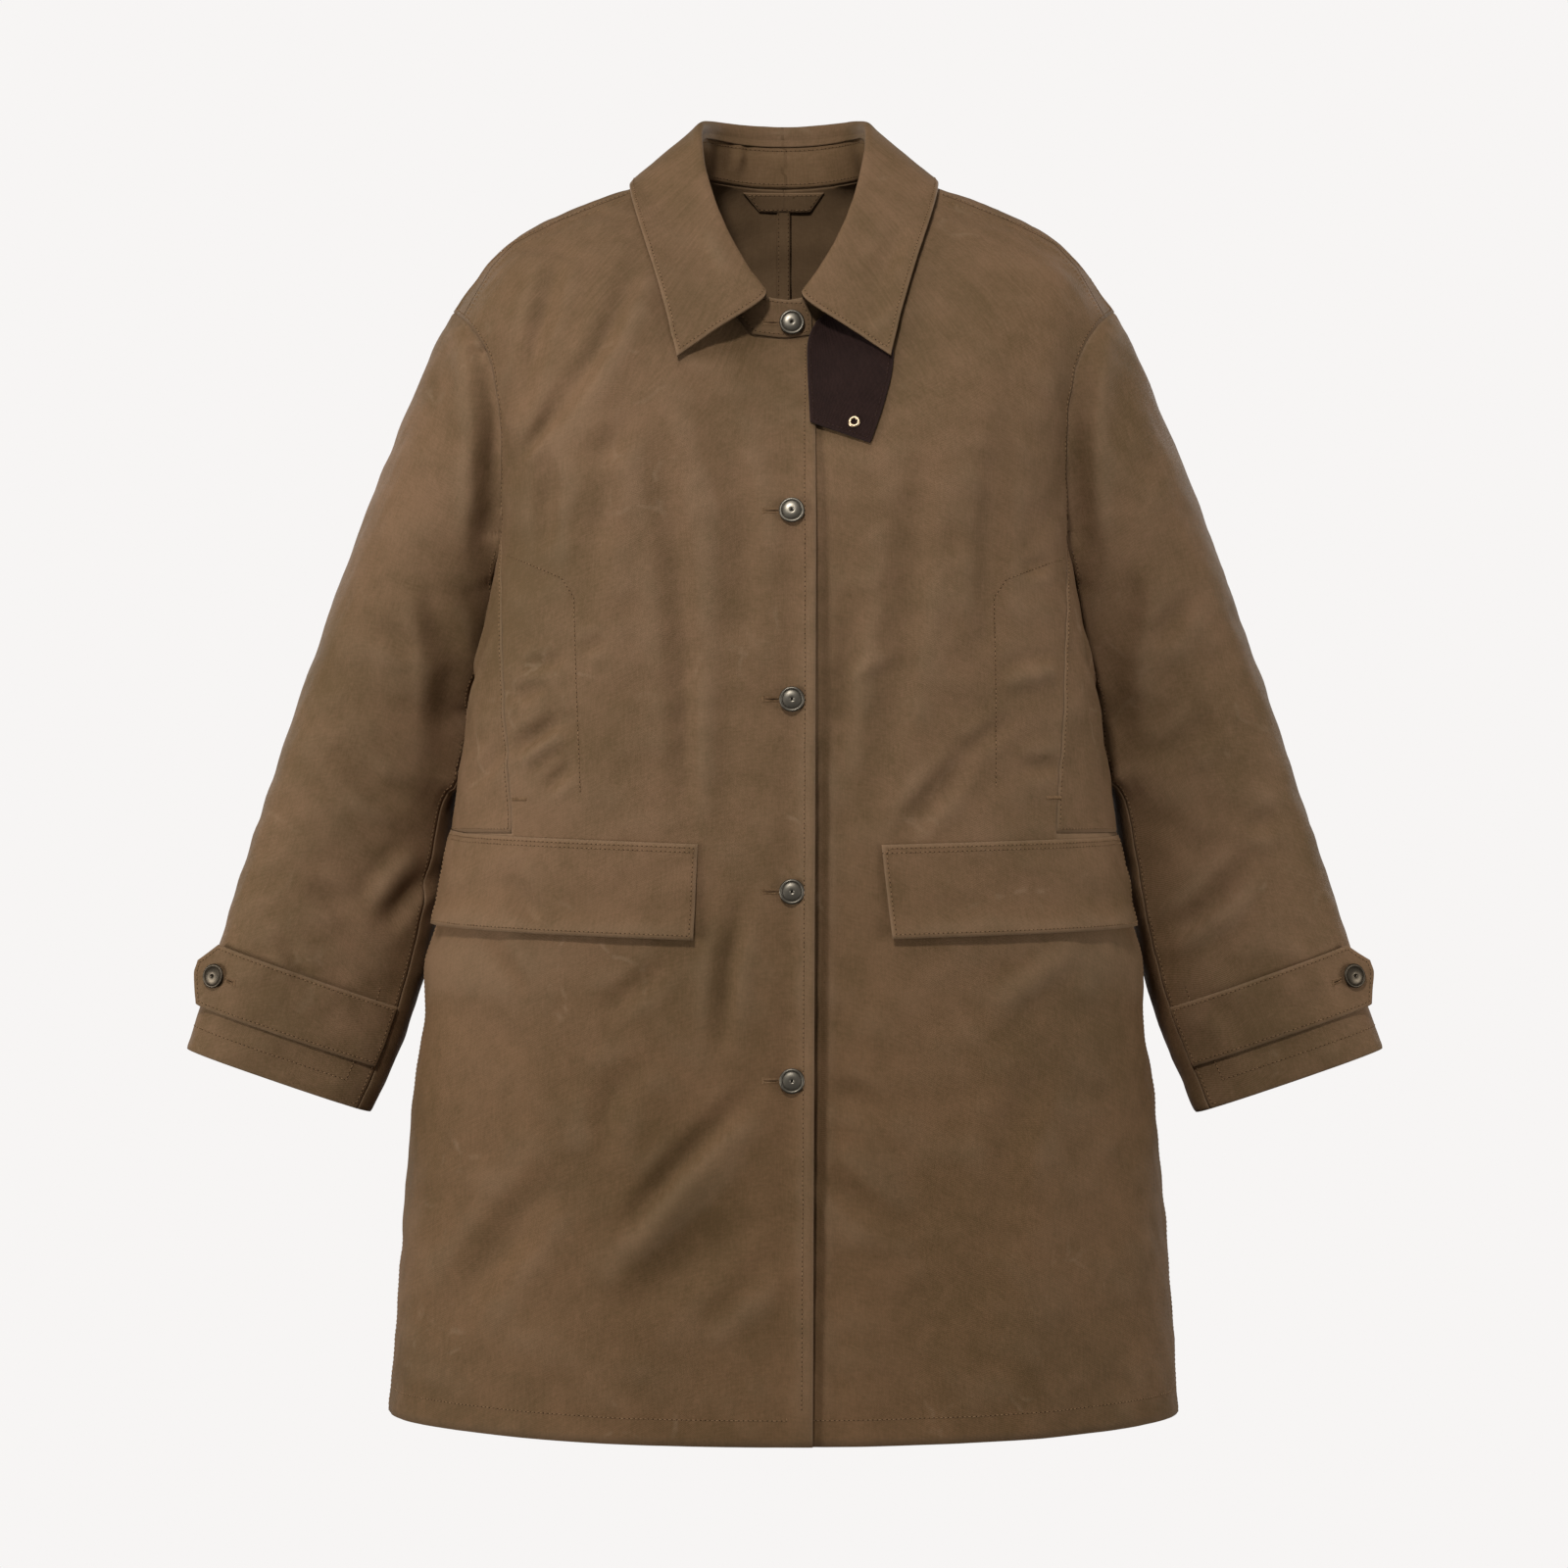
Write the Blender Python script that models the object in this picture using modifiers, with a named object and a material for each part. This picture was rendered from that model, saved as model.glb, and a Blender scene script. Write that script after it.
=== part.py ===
"""Waxed-cotton car coat, worn shape with no wearer: metres, +Z up, front facing -Y.

The origin is the middle of the neck, level with the back neck seam. The wearer's left is +X. Every
cloth piece is a wall whose outer skin is worked out from the tables below and thickened inwards.
"""

import math
from collections import namedtuple

import bmesh
import bpy
import numpy as np
from mathutils import Vector
from mathutils.bvhtree import BVHTree

# Driving dimensions
WALL = 0.002
SEAM_GAP = 0.0003
ARMHOLE_GAP = 0.0007
SLEEVE_CLEAR = 0.003
FRONT_EDGE = 0.0205
FRONT_EDGE_RISE = 0.0035
UNDERLAP_DROP = 0.0027
UNDERLAP_RAMP = (0.026, 0.060)
NOTCH_LEVEL = -0.262
UNDERARM_LEVEL = -0.297
FLAP_SEAM_LEVEL = -0.4815
HEM_LEVEL = -0.909
HEM_DIP = 0.010
HEM_DIP_START = -0.513
BUTTON_X = 0.0056
BUTTON_LEVELS = (-0.1115, -0.2505, -0.3855, -0.5230, -0.6580)

# Horizontal sections of the body: half width, depth in front of and behind the side seam, squareness
Section = namedtuple("Section", "level half_width front back front_square back_square")
SECTIONS = (
    Section(-0.262, 0.2090, 0.1500, 0.1140, 3.3, 2.6),
    Section(-0.301, 0.2150, 0.1510, 0.1140, 3.2, 2.6),
    Section(-0.364, 0.2290, 0.1530, 0.1130, 3.0, 2.5),
    Section(-0.438, 0.2400, 0.1550, 0.1150, 2.8, 2.5),
    Section(-0.513, 0.2510, 0.1570, 0.1210, 2.7, 2.4),
    Section(-0.598, 0.2645, 0.1590, 0.1300, 2.6, 2.4),
    Section(-0.736, 0.2785, 0.1620, 0.1440, 2.5, 2.3),
    Section(-0.909, 0.2925, 0.1660, 0.1600, 2.4, 2.3),
)

# How the skin rounds: depth leads the drop over the chest, the shoulder blades and the upper panels,
# the back's height lags, and rows crowd towards the shoulder
CHEST_LEAD = 1.35
BLADE_LEAD = 2.2
PANEL_LEAD = 1.9
BACK_LAG = 1.4
ROW_CROWDING = 1.25

# Ridge behind the shoulder seam: its rise, how far it runs down the back, and where it fades along it
RIDGE_RISE = 0.018
RIDGE_DEPTH = 0.22
RIDGE_NECK_FADE = 0.40
RIDGE_TIP_FADE = 0.32

# Top edges, from the centre to the shoulder tip: the neckline and then the shoulder seam
EdgePoint = namedtuple("EdgePoint", "share x y z")
SHOULDER = (
    EdgePoint(0.36, 0.0750, -0.0060, 0.0050),
    EdgePoint(0.54, 0.1170, -0.0170, -0.0090),
    EdgePoint(0.71, 0.1640, -0.0220, -0.0290),
    EdgePoint(0.84, 0.2010, -0.0230, -0.0460),
    EdgePoint(0.92, 0.2190, -0.0210, -0.0635),
    EdgePoint(1.00, 0.2440, -0.0160, -0.0980),
)
FRONT_NECK = (
    EdgePoint(-0.08, -0.0235, -0.0890, -0.1200),
    EdgePoint(0.00, 0.0000, -0.0905, -0.1235),
    EdgePoint(0.08, 0.0235, -0.0890, -0.1200),
    EdgePoint(0.17, 0.0450, -0.0740, -0.0900),
    EdgePoint(0.27, 0.0690, -0.0390, -0.0330),
)
BACK_NECK = (
    EdgePoint(-0.12, -0.0300, 0.0570, 0.0010),
    EdgePoint(0.00, 0.0000, 0.0620, 0.0000),
    EdgePoint(0.12, 0.0300, 0.0570, 0.0010),
    EdgePoint(0.24, 0.0570, 0.0350, 0.0040),
)

# Armhole between the shoulder tip and the front notch or the underarm, by share of its length
FRONT_ARMHOLE = (
    EdgePoint(0.25, 0.2290, -0.0520, -0.1120),
    EdgePoint(0.45, 0.2140, -0.0690, -0.1370),
    EdgePoint(0.75, 0.2060, -0.0700, -0.2000),
)
BACK_ARMHOLE = (
    EdgePoint(0.20, 0.2340, 0.0240, -0.1100),
    EdgePoint(0.40, 0.2210, 0.0500, -0.1450),
    EdgePoint(0.65, 0.2130, 0.0580, -0.2050),
    EdgePoint(0.85, 0.2100, 0.0360, -0.2650),
)

# Pocket seam on the front: how far it is from the centre at each level
SeamPoint = namedtuple("SeamPoint", "level x")
POCKET_SEAM = (
    SeamPoint(-0.262, 0.2070),
    SeamPoint(-0.366, 0.2040),
    SeamPoint(-0.4815, 0.1965),
    SeamPoint(-0.600, 0.1980),
    SeamPoint(-0.909, 0.2050),
)

# Largest folds: soft ridges (+) and troughs (-), each leaning from its top place to its bottom place
Fold = namedtuple("Fold", "face x_top x_bottom top bottom height width")
FOLDS = (
    Fold(-1, -0.168, -0.158, -0.040, -0.430, -0.0050, 0.016),
    Fold(-1, -0.128, -0.134, -0.090, -0.380, 0.0030, 0.022),
    Fold(-1, 0.172, 0.162, -0.050, -0.410, -0.0045, 0.015),
    Fold(-1, 0.118, 0.130, -0.150, -0.460, 0.0025, 0.024),
    Fold(-1, -0.105, -0.122, -0.580, -0.990, 0.0045, 0.026),
    Fold(-1, -0.205, -0.222, -0.560, -0.990, -0.0050, 0.024),
    Fold(-1, 0.085, 0.098, -0.620, -0.990, -0.0035, 0.022),
    Fold(-1, 0.168, 0.186, -0.560, -0.990, 0.0050, 0.026),
    Fold(1, -0.150, -0.140, -0.120, -0.420, 0.0045, 0.022),
    Fold(1, 0.156, 0.140, -0.130, -0.450, 0.0045, 0.020),
    Fold(1, -0.070, -0.090, -0.470, -0.990, -0.0055, 0.028),
    Fold(1, -0.175, -0.200, -0.500, -0.990, 0.0060, 0.028),
    Fold(1, 0.080, 0.105, -0.520, -0.990, -0.0050, 0.026),
    Fold(1, 0.185, 0.205, -0.540, -0.990, 0.0055, 0.028),
)

FOLD_FADE = 1 / 3
FOLD_SIDE_BAND = (0.02, 0.07)

# Sleeve rings down the arm: outer and inner edge seen from the front, middle depth and half depth
Ring = namedtuple("Ring", "outer_x outer_z inner_x inner_z middle_y half_depth square")
SLEEVE_RINGS = (
    Ring(0.2650, -0.1240, 0.2140, -0.3060, 0.0000, 0.0710, 2.0),
    Ring(0.2850, -0.1720, 0.2170, -0.3250, 0.0100, 0.0720, 2.0),
    Ring(0.3070, -0.2285, 0.2220, -0.3500, 0.0200, 0.0710, 2.0),
    Ring(0.3330, -0.3010, 0.2300, -0.3960, 0.0300, 0.0670, 2.1),
    Ring(0.3595, -0.3735, 0.2395, -0.4430, 0.0380, 0.0620, 2.1),
    Ring(0.3845, -0.4460, 0.2495, -0.5000, 0.0410, 0.0560, 2.2),
    Ring(0.4080, -0.5185, 0.2620, -0.5700, 0.0390, 0.0480, 2.3),
    Ring(0.4245, -0.5730, 0.2780, -0.6240, 0.0340, 0.0410, 2.4),
    Ring(0.4360, -0.6100, 0.2920, -0.6590, 0.0300, 0.0370, 2.5),
    Ring(0.4460, -0.6420, 0.3060, -0.6900, 0.0270, 0.0340, 2.5),
)
SLEEVE_BLEND = 0.30
SLEEVE_BLEND_LEAD = 0.6
SLEEVE_CLEAR_RAMP = 0.12
SLEEVE_FOLD_SLANT = 2.0
FRONT_SEAM_TURN = math.radians(146)
BACK_SEAM_TURN = math.radians(216)

# Sleeve folds: ring share along the arm, turn round the arm, height, length share, width in turn
SleeveFold = namedtuple("SleeveFold", "side share turn height length width")
SLEEVE_FOLDS = (
    SleeveFold(-1, 0.42, 1.30, -0.0045, 0.10, 0.50),
    SleeveFold(-1, 0.60, 1.75, -0.0040, 0.07, 0.60),
    SleeveFold(-1, 0.78, 1.05, 0.0035, 0.07, 0.55),
    SleeveFold(1, 0.38, 1.45, -0.0045, 0.09, 0.50),
    SleeveFold(1, 0.57, 1.15, -0.0040, 0.08, 0.55),
    SleeveFold(1, 0.75, 1.80, 0.0035, 0.07, 0.50),
    SleeveFold(-1, 0.50, 4.80, -0.0050, 0.09, 0.60),
    SleeveFold(1, 0.48, 4.70, -0.0050, 0.08, 0.60),
    SleeveFold(-1, 0.66, 5.20, 0.0040, 0.08, 0.50),
    SleeveFold(1, 0.68, 5.10, 0.0040, 0.07, 0.50),
)

# Collar from the centre back to its front end: lean (radians) and height of the stand, roll crest and
# outer edge of the fall
CollarStation = namedtuple(
    "CollarStation", "share lean height roll_x roll_y roll_z edge_x edge_y edge_z"
)
COLLAR = (
    CollarStation(0.00, 0.08, 0.0305, 0.0000, 0.0665, 0.0460, 0.0000, 0.1010, -0.0250),
    CollarStation(0.12, 0.12, 0.0305, 0.0330, 0.0610, 0.0475, 0.0580, 0.0910, -0.0210),
    CollarStation(0.25, 0.25, 0.0300, 0.0575, 0.0360, 0.0480, 0.1000, 0.0520, -0.0040),
    CollarStation(0.40, 0.42, 0.0290, 0.0630, -0.0035, 0.0390, 0.1150, -0.0060, 0.0010),
    CollarStation(0.58, 0.40, 0.0280, 0.0590, -0.0370, 0.0010, 0.1085, -0.0460, -0.0340),
    CollarStation(0.83, 0.22, 0.0280, 0.0360, -0.0775, -0.0570, 0.0915, -0.0940, -0.0920),
    CollarStation(1.00, 0.12, 0.0290, 0.0135, -0.0960, -0.0900, 0.0770, -0.1280, -0.1390),
)
NECK_AXIS = np.array([0.0, -0.012, 0.0])
COLLAR_ROLL_WIDTH = 0.0055
COLLAR_ROLL_DROP = 0.005
COLLAR_BULGE_OUT = 0.0006
COLLAR_BULGE_UP = 0.001
COLLAR_CLEAR = {-1: 0.0044, 1: 0.0062}
STAND_END = 0.0205
STAND_END_HEIGHTS = (0.93, 0.62)

# Pocket flap corners on the front: inner and outer end of its top and bottom edge
FlapCorner = namedtuple("FlapCorner", "inner_x inner_z outer_share outer_z stand_off")
FLAP = {
    -1: (
        FlapCorner(0.0615, -0.4890, 0.925, -0.4795, 0.0025),
        FlapCorner(0.0645, -0.5575, 0.885, -0.5490, 0.0050),
    ),
    1: (
        FlapCorner(0.0695, -0.4895, 0.925, -0.4830, 0.0025),
        FlapCorner(0.0770, -0.5565, 0.895, -0.5505, 0.0050),
    ),
}

# Throat tab on the wearer's left front, top to bottom: its two side edges seen from the front
TabRow = namedtuple("TabRow", "left_x left_z right_x right_z")
THROAT_TAB = (
    TabRow(0.0260, -0.1060, 0.0700, -0.0980),
    TabRow(0.0172, -0.1240, 0.0800, -0.1330),
    TabRow(0.0178, -0.1550, 0.0730, -0.1700),
    TabRow(0.0195, -0.1870, 0.0620, -0.2020),
)
TAB_STAND_OFF = 0.0032
EYELET_PLACE = (0.0503, -0.1863)

# Cuff tab on the sleeve: shares of the arm at its two edges, turns at its sewn end and its last bend
CUFF_TAB_EDGES = (0.757, 0.889)
CUFF_TAB_TURNS = (math.radians(144), math.radians(38))
CUFF_TAB_STAND_OFF = 0.0026
# Steps past the last bend to the point: reach beyond the bend, then both edges as shares of the width
TipStep = namedtuple("TipStep", "reach upper lower")
CUFF_TAB_TIP = (TipStep(0.010, 0.0, 1.0), TipStep(0.0140, 0.10, 0.98), TipStep(0.0245, 0.34, 0.55))
CUFF_BUTTON_PLACE = (0.4215, -0.5885)

# Hanger loop inside the back neck: ends and level of its top and bottom edge
LoopEdge = namedtuple("LoopEdge", "left_x right_x level")
HANGER_LOOP = (LoopEdge(-0.0305, 0.0300, -0.0035), LoopEdge(-0.0185, 0.0195, -0.0175))
LOOP_WALL = 0.0014
LOOP_CLEAR = 0.0012

# Turned profiles, from the top down the outer side: radius and height
ProfilePoint = namedtuple("ProfilePoint", "radius height")
BUTTON_PROFILE = (
    ProfilePoint(0.0, 0.0042),
    ProfilePoint(0.0036, 0.0040),
    ProfilePoint(0.0060, 0.0030),
    ProfilePoint(0.0072, 0.0038),
    ProfilePoint(0.0086, 0.0040),
    ProfilePoint(0.0092, 0.0031),
    ProfilePoint(0.0086, 0.0021),
    ProfilePoint(0.0042, 0.0017),
    ProfilePoint(0.0040, 0.0003),
    ProfilePoint(0.0, 0.0003),
)
EYELET_PROFILE = (
    ProfilePoint(0.0022, 0.0011),
    ProfilePoint(0.0036, 0.0016),
    ProfilePoint(0.0047, 0.0003),
    ProfilePoint(0.0021, 0.0003),
)

# Grid counts
NECK_COLUMNS = 5
SHOULDER_COLUMNS = 8
FRONT_COLUMNS = NECK_COLUMNS + SHOULDER_COLUMNS
SIDE_COLUMNS = 4
UPPER_ROWS = 10
POCKET_ROWS = 6
SKIRT_ROWS = 8
UPPER_SLEEVE_COLUMNS = 15
UNDER_SLEEVE_COLUMNS = 5
SLEEVE_ROWS = 18
FALL_END = 2 * NECK_COLUMNS
COLLAR_LINES = (0.0, 0.10, 0.18, 0.24, 0.30, 0.46, 0.62, 0.81, 1.0)
FLAP_ROWS = 4
FLAP_COLUMNS = 12
TAB_ROWS = 7
TAB_COLUMNS = 6
CUFF_TAB_ROWS = 4
CUFF_TAB_COLUMNS = 10
LOOP_COLUMNS = 8
CURVE_SAMPLES = 160
ARMHOLE_SAMPLES = 40
TURN_STEPS = 16
MERGE_DISTANCE = 0.00001
LIFT_REACH = 0.05

COLLECTION = "waxed_coat"
Finish = namedtuple("Finish", "name colour roughness metallic")
WAXED_COTTON = Finish("waxed_cotton", (0.145, 0.085, 0.046, 1.0), 0.68, 0.0)
TAB_CLOTH = Finish("tab_cloth", (0.026, 0.015, 0.012, 1.0), 0.9, 0.0)
BUTTON_METAL = Finish("button_metal", (0.10, 0.085, 0.062, 1.0), 0.38, 1.0)
EYELET_METAL = Finish("eyelet_metal", (0.62, 0.47, 0.30, 1.0), 0.32, 1.0)


def hermite(knots, values, places):
    """Smooth curve through the values at the knots, read at the places."""
    knots = np.asarray(knots, float)
    values = np.asarray(values, float)
    places = np.clip(np.asarray(places, float), knots[0], knots[-1])
    slopes = np.gradient(values, knots, axis=0)
    low = np.clip(np.searchsorted(knots, places, side="right") - 1, 0, len(knots) - 2)
    step = knots[low + 1] - knots[low]
    share = (places - knots[low]) / step
    spread = share.shape + (1,) * (values.ndim - 1)
    share = share.reshape(spread)
    step = step.reshape(spread)
    square = share * share
    cube = square * share
    return (
        (2 * cube - 3 * square + 1) * values[low]
        + (cube - 2 * square + share) * step * slopes[low]
        + (3 * square - 2 * cube) * values[low + 1]
        + (cube - square) * step * slopes[low + 1]
    )


def ease(share):
    """Smooth step from 0 to 1."""
    share = np.clip(share, 0.0, 1.0)
    return share * share * (3.0 - 2.0 * share)


def mix(first, second, share):
    return first + (second - first) * share


def section_at(level):
    """The body's section measures at a level, read between the table's rows."""
    levels = [-row.level for row in SECTIONS]
    measures = [row[1:] for row in SECTIONS]
    return Section(level, *hermite(levels, measures, -level))


def section_curve(level, face):
    """Half a section as closely spaced points, from the centre across to the side seam."""
    row = section_at(level)
    depth, square = (row.front, row.front_square) if face < 0 else (row.back, row.back_square)
    turns = np.linspace(0.0, math.pi / 2, CURVE_SAMPLES)
    across = np.sin(turns) ** (2 / square) * row.half_width
    away = face * np.clip(np.cos(turns), 0.0, 1.0) ** (2 / square) * depth
    settle = ease((HEM_DIP_START - level) / (HEM_DIP_START - HEM_LEVEL))
    drop = HEM_DIP * settle * (1.0 - (across / row.half_width) ** 2)
    return np.stack([across, away, level - drop], axis=1)


def along(curve, shares):
    """Points at shares of a curve's length."""
    lengths = np.r_[0.0, np.cumsum(np.linalg.norm(np.diff(curve, axis=0), axis=1))]
    places = np.asarray(shares, float) * lengths[-1]
    return np.stack([np.interp(places, lengths, curve[:, axis]) for axis in range(3)], axis=-1)


def share_at_x(curve, wanted_x):
    """The share of a section curve's length at which it first reaches wanted_x."""
    lengths = np.r_[0.0, np.cumsum(np.linalg.norm(np.diff(curve, axis=0), axis=1))]
    return np.interp(wanted_x, curve[:, 0], lengths) / lengths[-1]


def front_edge_x(level):
    """The front edge's distance past the centre: a little less towards the hem."""
    return FRONT_EDGE + FRONT_EDGE_RISE * (1.0 - level / HEM_LEVEL)


def pocket_x(level):
    return float(hermite([-p.level for p in POCKET_SEAM], [p.x for p in POCKET_SEAM], -level))


def top_shares():
    """Columns of a top edge: the neckline's, with one at the front edge, and then the shoulder's."""
    neck = FRONT_NECK[2].share
    neckline = np.linspace(neck, SHOULDER[0].share, NECK_COLUMNS)
    return np.r_[0.0, neckline, np.linspace(SHOULDER[0].share, 1.0, SHOULDER_COLUMNS + 1)[1:]]


def front_row(level):
    """One level of a front from the centre: to the front edge's reach, the pocket seam and the side."""
    curve = section_curve(level, -1)
    edge = share_at_x(curve, front_edge_x(level))
    pocket = share_at_x(curve, pocket_x(level))
    shares = np.r_[0.0, np.linspace(edge, pocket, FRONT_COLUMNS)]
    return along(curve, np.r_[shares, np.linspace(pocket, 1.0, SIDE_COLUMNS + 1)[1:]])


def edge_curve(points, shares):
    return hermite([p.share for p in points], [p[1:] for p in points], shares)


def top_edge(neckline, shares):
    """Neckline and shoulder seam, which meet in a corner at the neck point."""
    neck = edge_curve((*neckline, SHOULDER[0]), shares)
    shoulder = edge_curve(SHOULDER, shares)
    return np.where((shares < SHOULDER[0].share)[:, None], neck, shoulder)


def coons(top, bottom, centre, side, row_shares, lag=1.0):
    """Grid between four edges. Depth and width settle early down the rows, height after a lag."""
    columns = np.linspace(0.0, 1.0, len(top))[None, :, None]
    early = 1.0 - (1.0 - row_shares) ** PANEL_LEAD
    down = np.stack([early, early, row_shares**lag], axis=1)[:, None, :]
    ruled = mix(top[None], bottom[None], down)
    across = mix(centre[:, None, :], side[:, None, :], columns)
    corners = mix(mix(top[0], top[-1], columns), mix(bottom[0], bottom[-1], columns), down)
    return ruled + across - corners


def profile(first, last, rows, lead):
    """Edge from first to last whose depth leads its drop, as over a chest or a shoulder blade."""
    early = (1.0 - (1.0 - rows) ** lead)[:, None]
    even = rows[:, None]
    return mix(first, last, np.concatenate([even, early, even], axis=1))


def fold_lift(points, face, side):
    """Height of the folds at points of one face, given in the half with positive x."""
    x = points[..., 0] * side
    z = points[..., 2]
    lift = np.zeros(x.shape)
    for fold in FOLDS:
        if fold.face != face:
            continue
        share = (fold.top - z) / (fold.top - fold.bottom)
        middle = mix(fold.x_top, fold.x_bottom, share)
        run = ease(share / FOLD_FADE) * ease((1.0 - share) / FOLD_FADE)
        lift += fold.height * run * np.exp(-(((x - middle) / fold.width) ** 2))
    return lift


def folded(points, face, side):
    """Points moved by the folds, square to the body's round and not at the side seam."""
    row = SECTIONS[2]
    depth = row.front if face < 0 else row.back
    flat = 0.0 * points[..., 2]
    ways = np.stack([points[..., 0] / row.half_width**2, points[..., 1] / depth**2, flat], axis=-1)
    ways /= np.linalg.norm(ways, axis=-1, keepdims=True)
    near, far = FOLD_SIDE_BAND
    away = ease((np.abs(points[..., 1]) - near) / (far - near))
    return points + ways * (fold_lift(points, face, side) * away)[..., None]


def front_armhole(shares):
    tip = EdgePoint(0.0, *SHOULDER[-1][1:])
    notch = EdgePoint(1.0, *front_row(NOTCH_LEVEL)[FRONT_COLUMNS])
    return edge_curve((tip, *FRONT_ARMHOLE, notch), shares)


def back_armhole(shares):
    tip = EdgePoint(0.0, *SHOULDER[-1][1:])
    underarm = EdgePoint(1.0, *section_curve(UNDERARM_LEVEL, 1)[-1])
    return edge_curve((tip, *BACK_ARMHOLE, underarm), shares)


def lower_armhole_level(share):
    """Level of the armhole's lower front, from the notch to the underarm."""
    return mix(NOTCH_LEVEL, UNDERARM_LEVEL, math.sin(share * math.pi / 2))


def side_point(level, share):
    """Point of the side front: share 0 at the pocket seam and 1 at the side seam."""
    curve = section_curve(level, -1)
    pocket = share_at_x(curve, pocket_x(level))
    return along(curve, [mix(pocket, 1.0, share)])[0]


def front_grid(side):
    """Outer skin of a front from the centre to the side, rows down, in the half with positive x.

    The cells between the pocket seam and the side seam above the flap belong to the side front, and
    those above the notch only carry the skin on past the armhole.
    """
    rows = np.linspace(0.0, 1.0, UPPER_ROWS + 1) ** ROW_CROWDING
    top = top_edge(FRONT_NECK, top_shares())
    bottom = front_row(NOTCH_LEVEL)[: FRONT_COLUMNS + 1]
    centre = profile(top[0], bottom[0], rows, CHEST_LEAD)
    upper = coons(top, bottom, centre, front_armhole(rows), rows)
    last = upper[:, -1:]
    steps = np.arange(1, SIDE_COLUMNS + 1)[None, :, None]
    beyond = last + (last - upper[:, -2:-1]) * steps
    upper = np.concatenate([upper, beyond], axis=1)[:-1]
    pocket = np.linspace(NOTCH_LEVEL, FLAP_SEAM_LEVEL, POCKET_ROWS + 1)
    skirt = np.linspace(FLAP_SEAM_LEVEL, HEM_LEVEL, SKIRT_ROWS + 1)[1:]
    lower = np.array([front_row(level) for level in np.r_[pocket, skirt]])
    return folded(np.concatenate([upper, lower]), -1, side)


def with_overlap(grid, under):
    """A front carried past the centre to its edge, and the under one let in below the other."""
    past = grid[:, 1:2] * np.array([-1.0, 1.0, 1.0])
    grid = np.concatenate([past, grid], axis=1)
    if under:
        near, far = UNDERLAP_RAMP
        drop = UNDERLAP_DROP * (1.0 - ease((grid[..., 0] - near) / (far - near)))
        grid = grid - outward(grid) * drop[..., None]
    return grid


def side_front_grid(side):
    """Outer skin of the piece between the pocket seam, the armhole, the side seam and the flap."""
    rows = np.linspace(0.0, 1.0, POCKET_ROWS + 1)
    columns = np.linspace(0.0, 1.0, SIDE_COLUMNS + 1)
    grid = [
        [side_point(mix(lower_armhole_level(c), FLAP_SEAM_LEVEL, r), c) for c in columns]
        for r in rows
    ]
    return folded(np.array(grid), -1, side)


def back_grid(side):
    """Outer skin of half the back, from the centre seam to the shoulder, armhole and side seam."""
    rows = np.linspace(0.0, 1.0, UPPER_ROWS + 3) ** ROW_CROWDING
    shares = top_shares()
    top = top_edge(BACK_NECK, shares)
    bottom = along(section_curve(UNDERARM_LEVEL, 1), shares)
    centre = profile(top[0], bottom[0], rows, BLADE_LEAD)
    upper = coons(top, bottom, centre, back_armhole(rows), rows, BACK_LAG)
    over = ease(shares / RIDGE_NECK_FADE) * ease((1.0 - shares) / RIDGE_TIP_FADE)
    ridge = np.sin(np.clip(rows / RIDGE_DEPTH, 0.0, 1.0) * math.pi)
    upper[:, :, 2] += RIDGE_RISE * ridge[:, None] * over[None, :]
    levels = np.linspace(UNDERARM_LEVEL, HEM_LEVEL, POCKET_ROWS + SKIRT_ROWS)[1:]
    lower = np.array([along(section_curve(level, 1), shares) for level in levels])
    return folded(np.concatenate([upper, lower]), 1, side)


def armhole_ring(turns):
    """Points of the whole armhole: turn 0 at the shoulder tip, pi at the underarm, front first."""
    shares = np.linspace(0.0, 1.0, ARMHOLE_SAMPLES)
    lower = [side_point(lower_armhole_level(s), s) for s in shares]
    front = np.concatenate([front_armhole(shares), lower[1:]])
    back = back_armhole(shares)
    turns = np.mod(turns, 2 * math.pi)
    before = along(front, np.clip(turns / math.pi, 0.0, 1.0))
    after = along(back, np.clip(2.0 - turns / math.pi, 0.0, 1.0))
    return np.where((turns <= math.pi)[:, None], before, after)


def sleeve_ring(share, turns, side, body_tree):
    """Points round the arm at a share of its length, kept just clear of the body."""
    ring = Ring(*hermite(np.linspace(0.0, 1.0, len(SLEEVE_RINGS)), SLEEVE_RINGS, share))
    outer = np.array([ring.outer_x, ring.middle_y, ring.outer_z])
    inner = np.array([ring.inner_x, ring.middle_y, ring.inner_z])
    lift = np.zeros(len(turns))
    for fold in SLEEVE_FOLDS:
        if fold.side == side:
            past = share - fold.share
            round_arm = np.angle(np.exp(1j * (turns - fold.turn - SLEEVE_FOLD_SLANT * past)))
            down_arm = past / fold.length
            lift += fold.height * np.exp(-(down_arm**2) - (round_arm / fold.width) ** 2)
    power = 2.0 / ring.square
    wide = np.sign(np.cos(turns)) * np.abs(np.cos(turns)) ** power
    deep = np.sign(np.sin(turns)) * np.abs(np.sin(turns)) ** power
    half = (outer - inner) / 2
    half = half * (1.0 + lift / np.linalg.norm(half))[:, None]
    points = (outer + inner) / 2 + half * wide[:, None]
    points[:, 1] -= (ring.half_depth + lift) * deep
    points = mix(armhole_ring(turns), points, ease(share / SLEEVE_BLEND) ** SLEEVE_BLEND_LEAD)
    clearance = SLEEVE_CLEAR * ease(share / SLEEVE_CLEAR_RAMP)
    return np.array([lifted(point, body_tree, clearance) for point in points])


def lifted(point, tree, clearance):
    """The point moved off the nearest skin until it is the clearance away from it."""
    place, normal, _, distance = tree.find_nearest(Vector(point))
    height = (Vector(point) - place).dot(normal)
    if height >= clearance or distance > LIFT_REACH:
        return point
    return np.array(Vector(point) + normal * (clearance - height))


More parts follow.
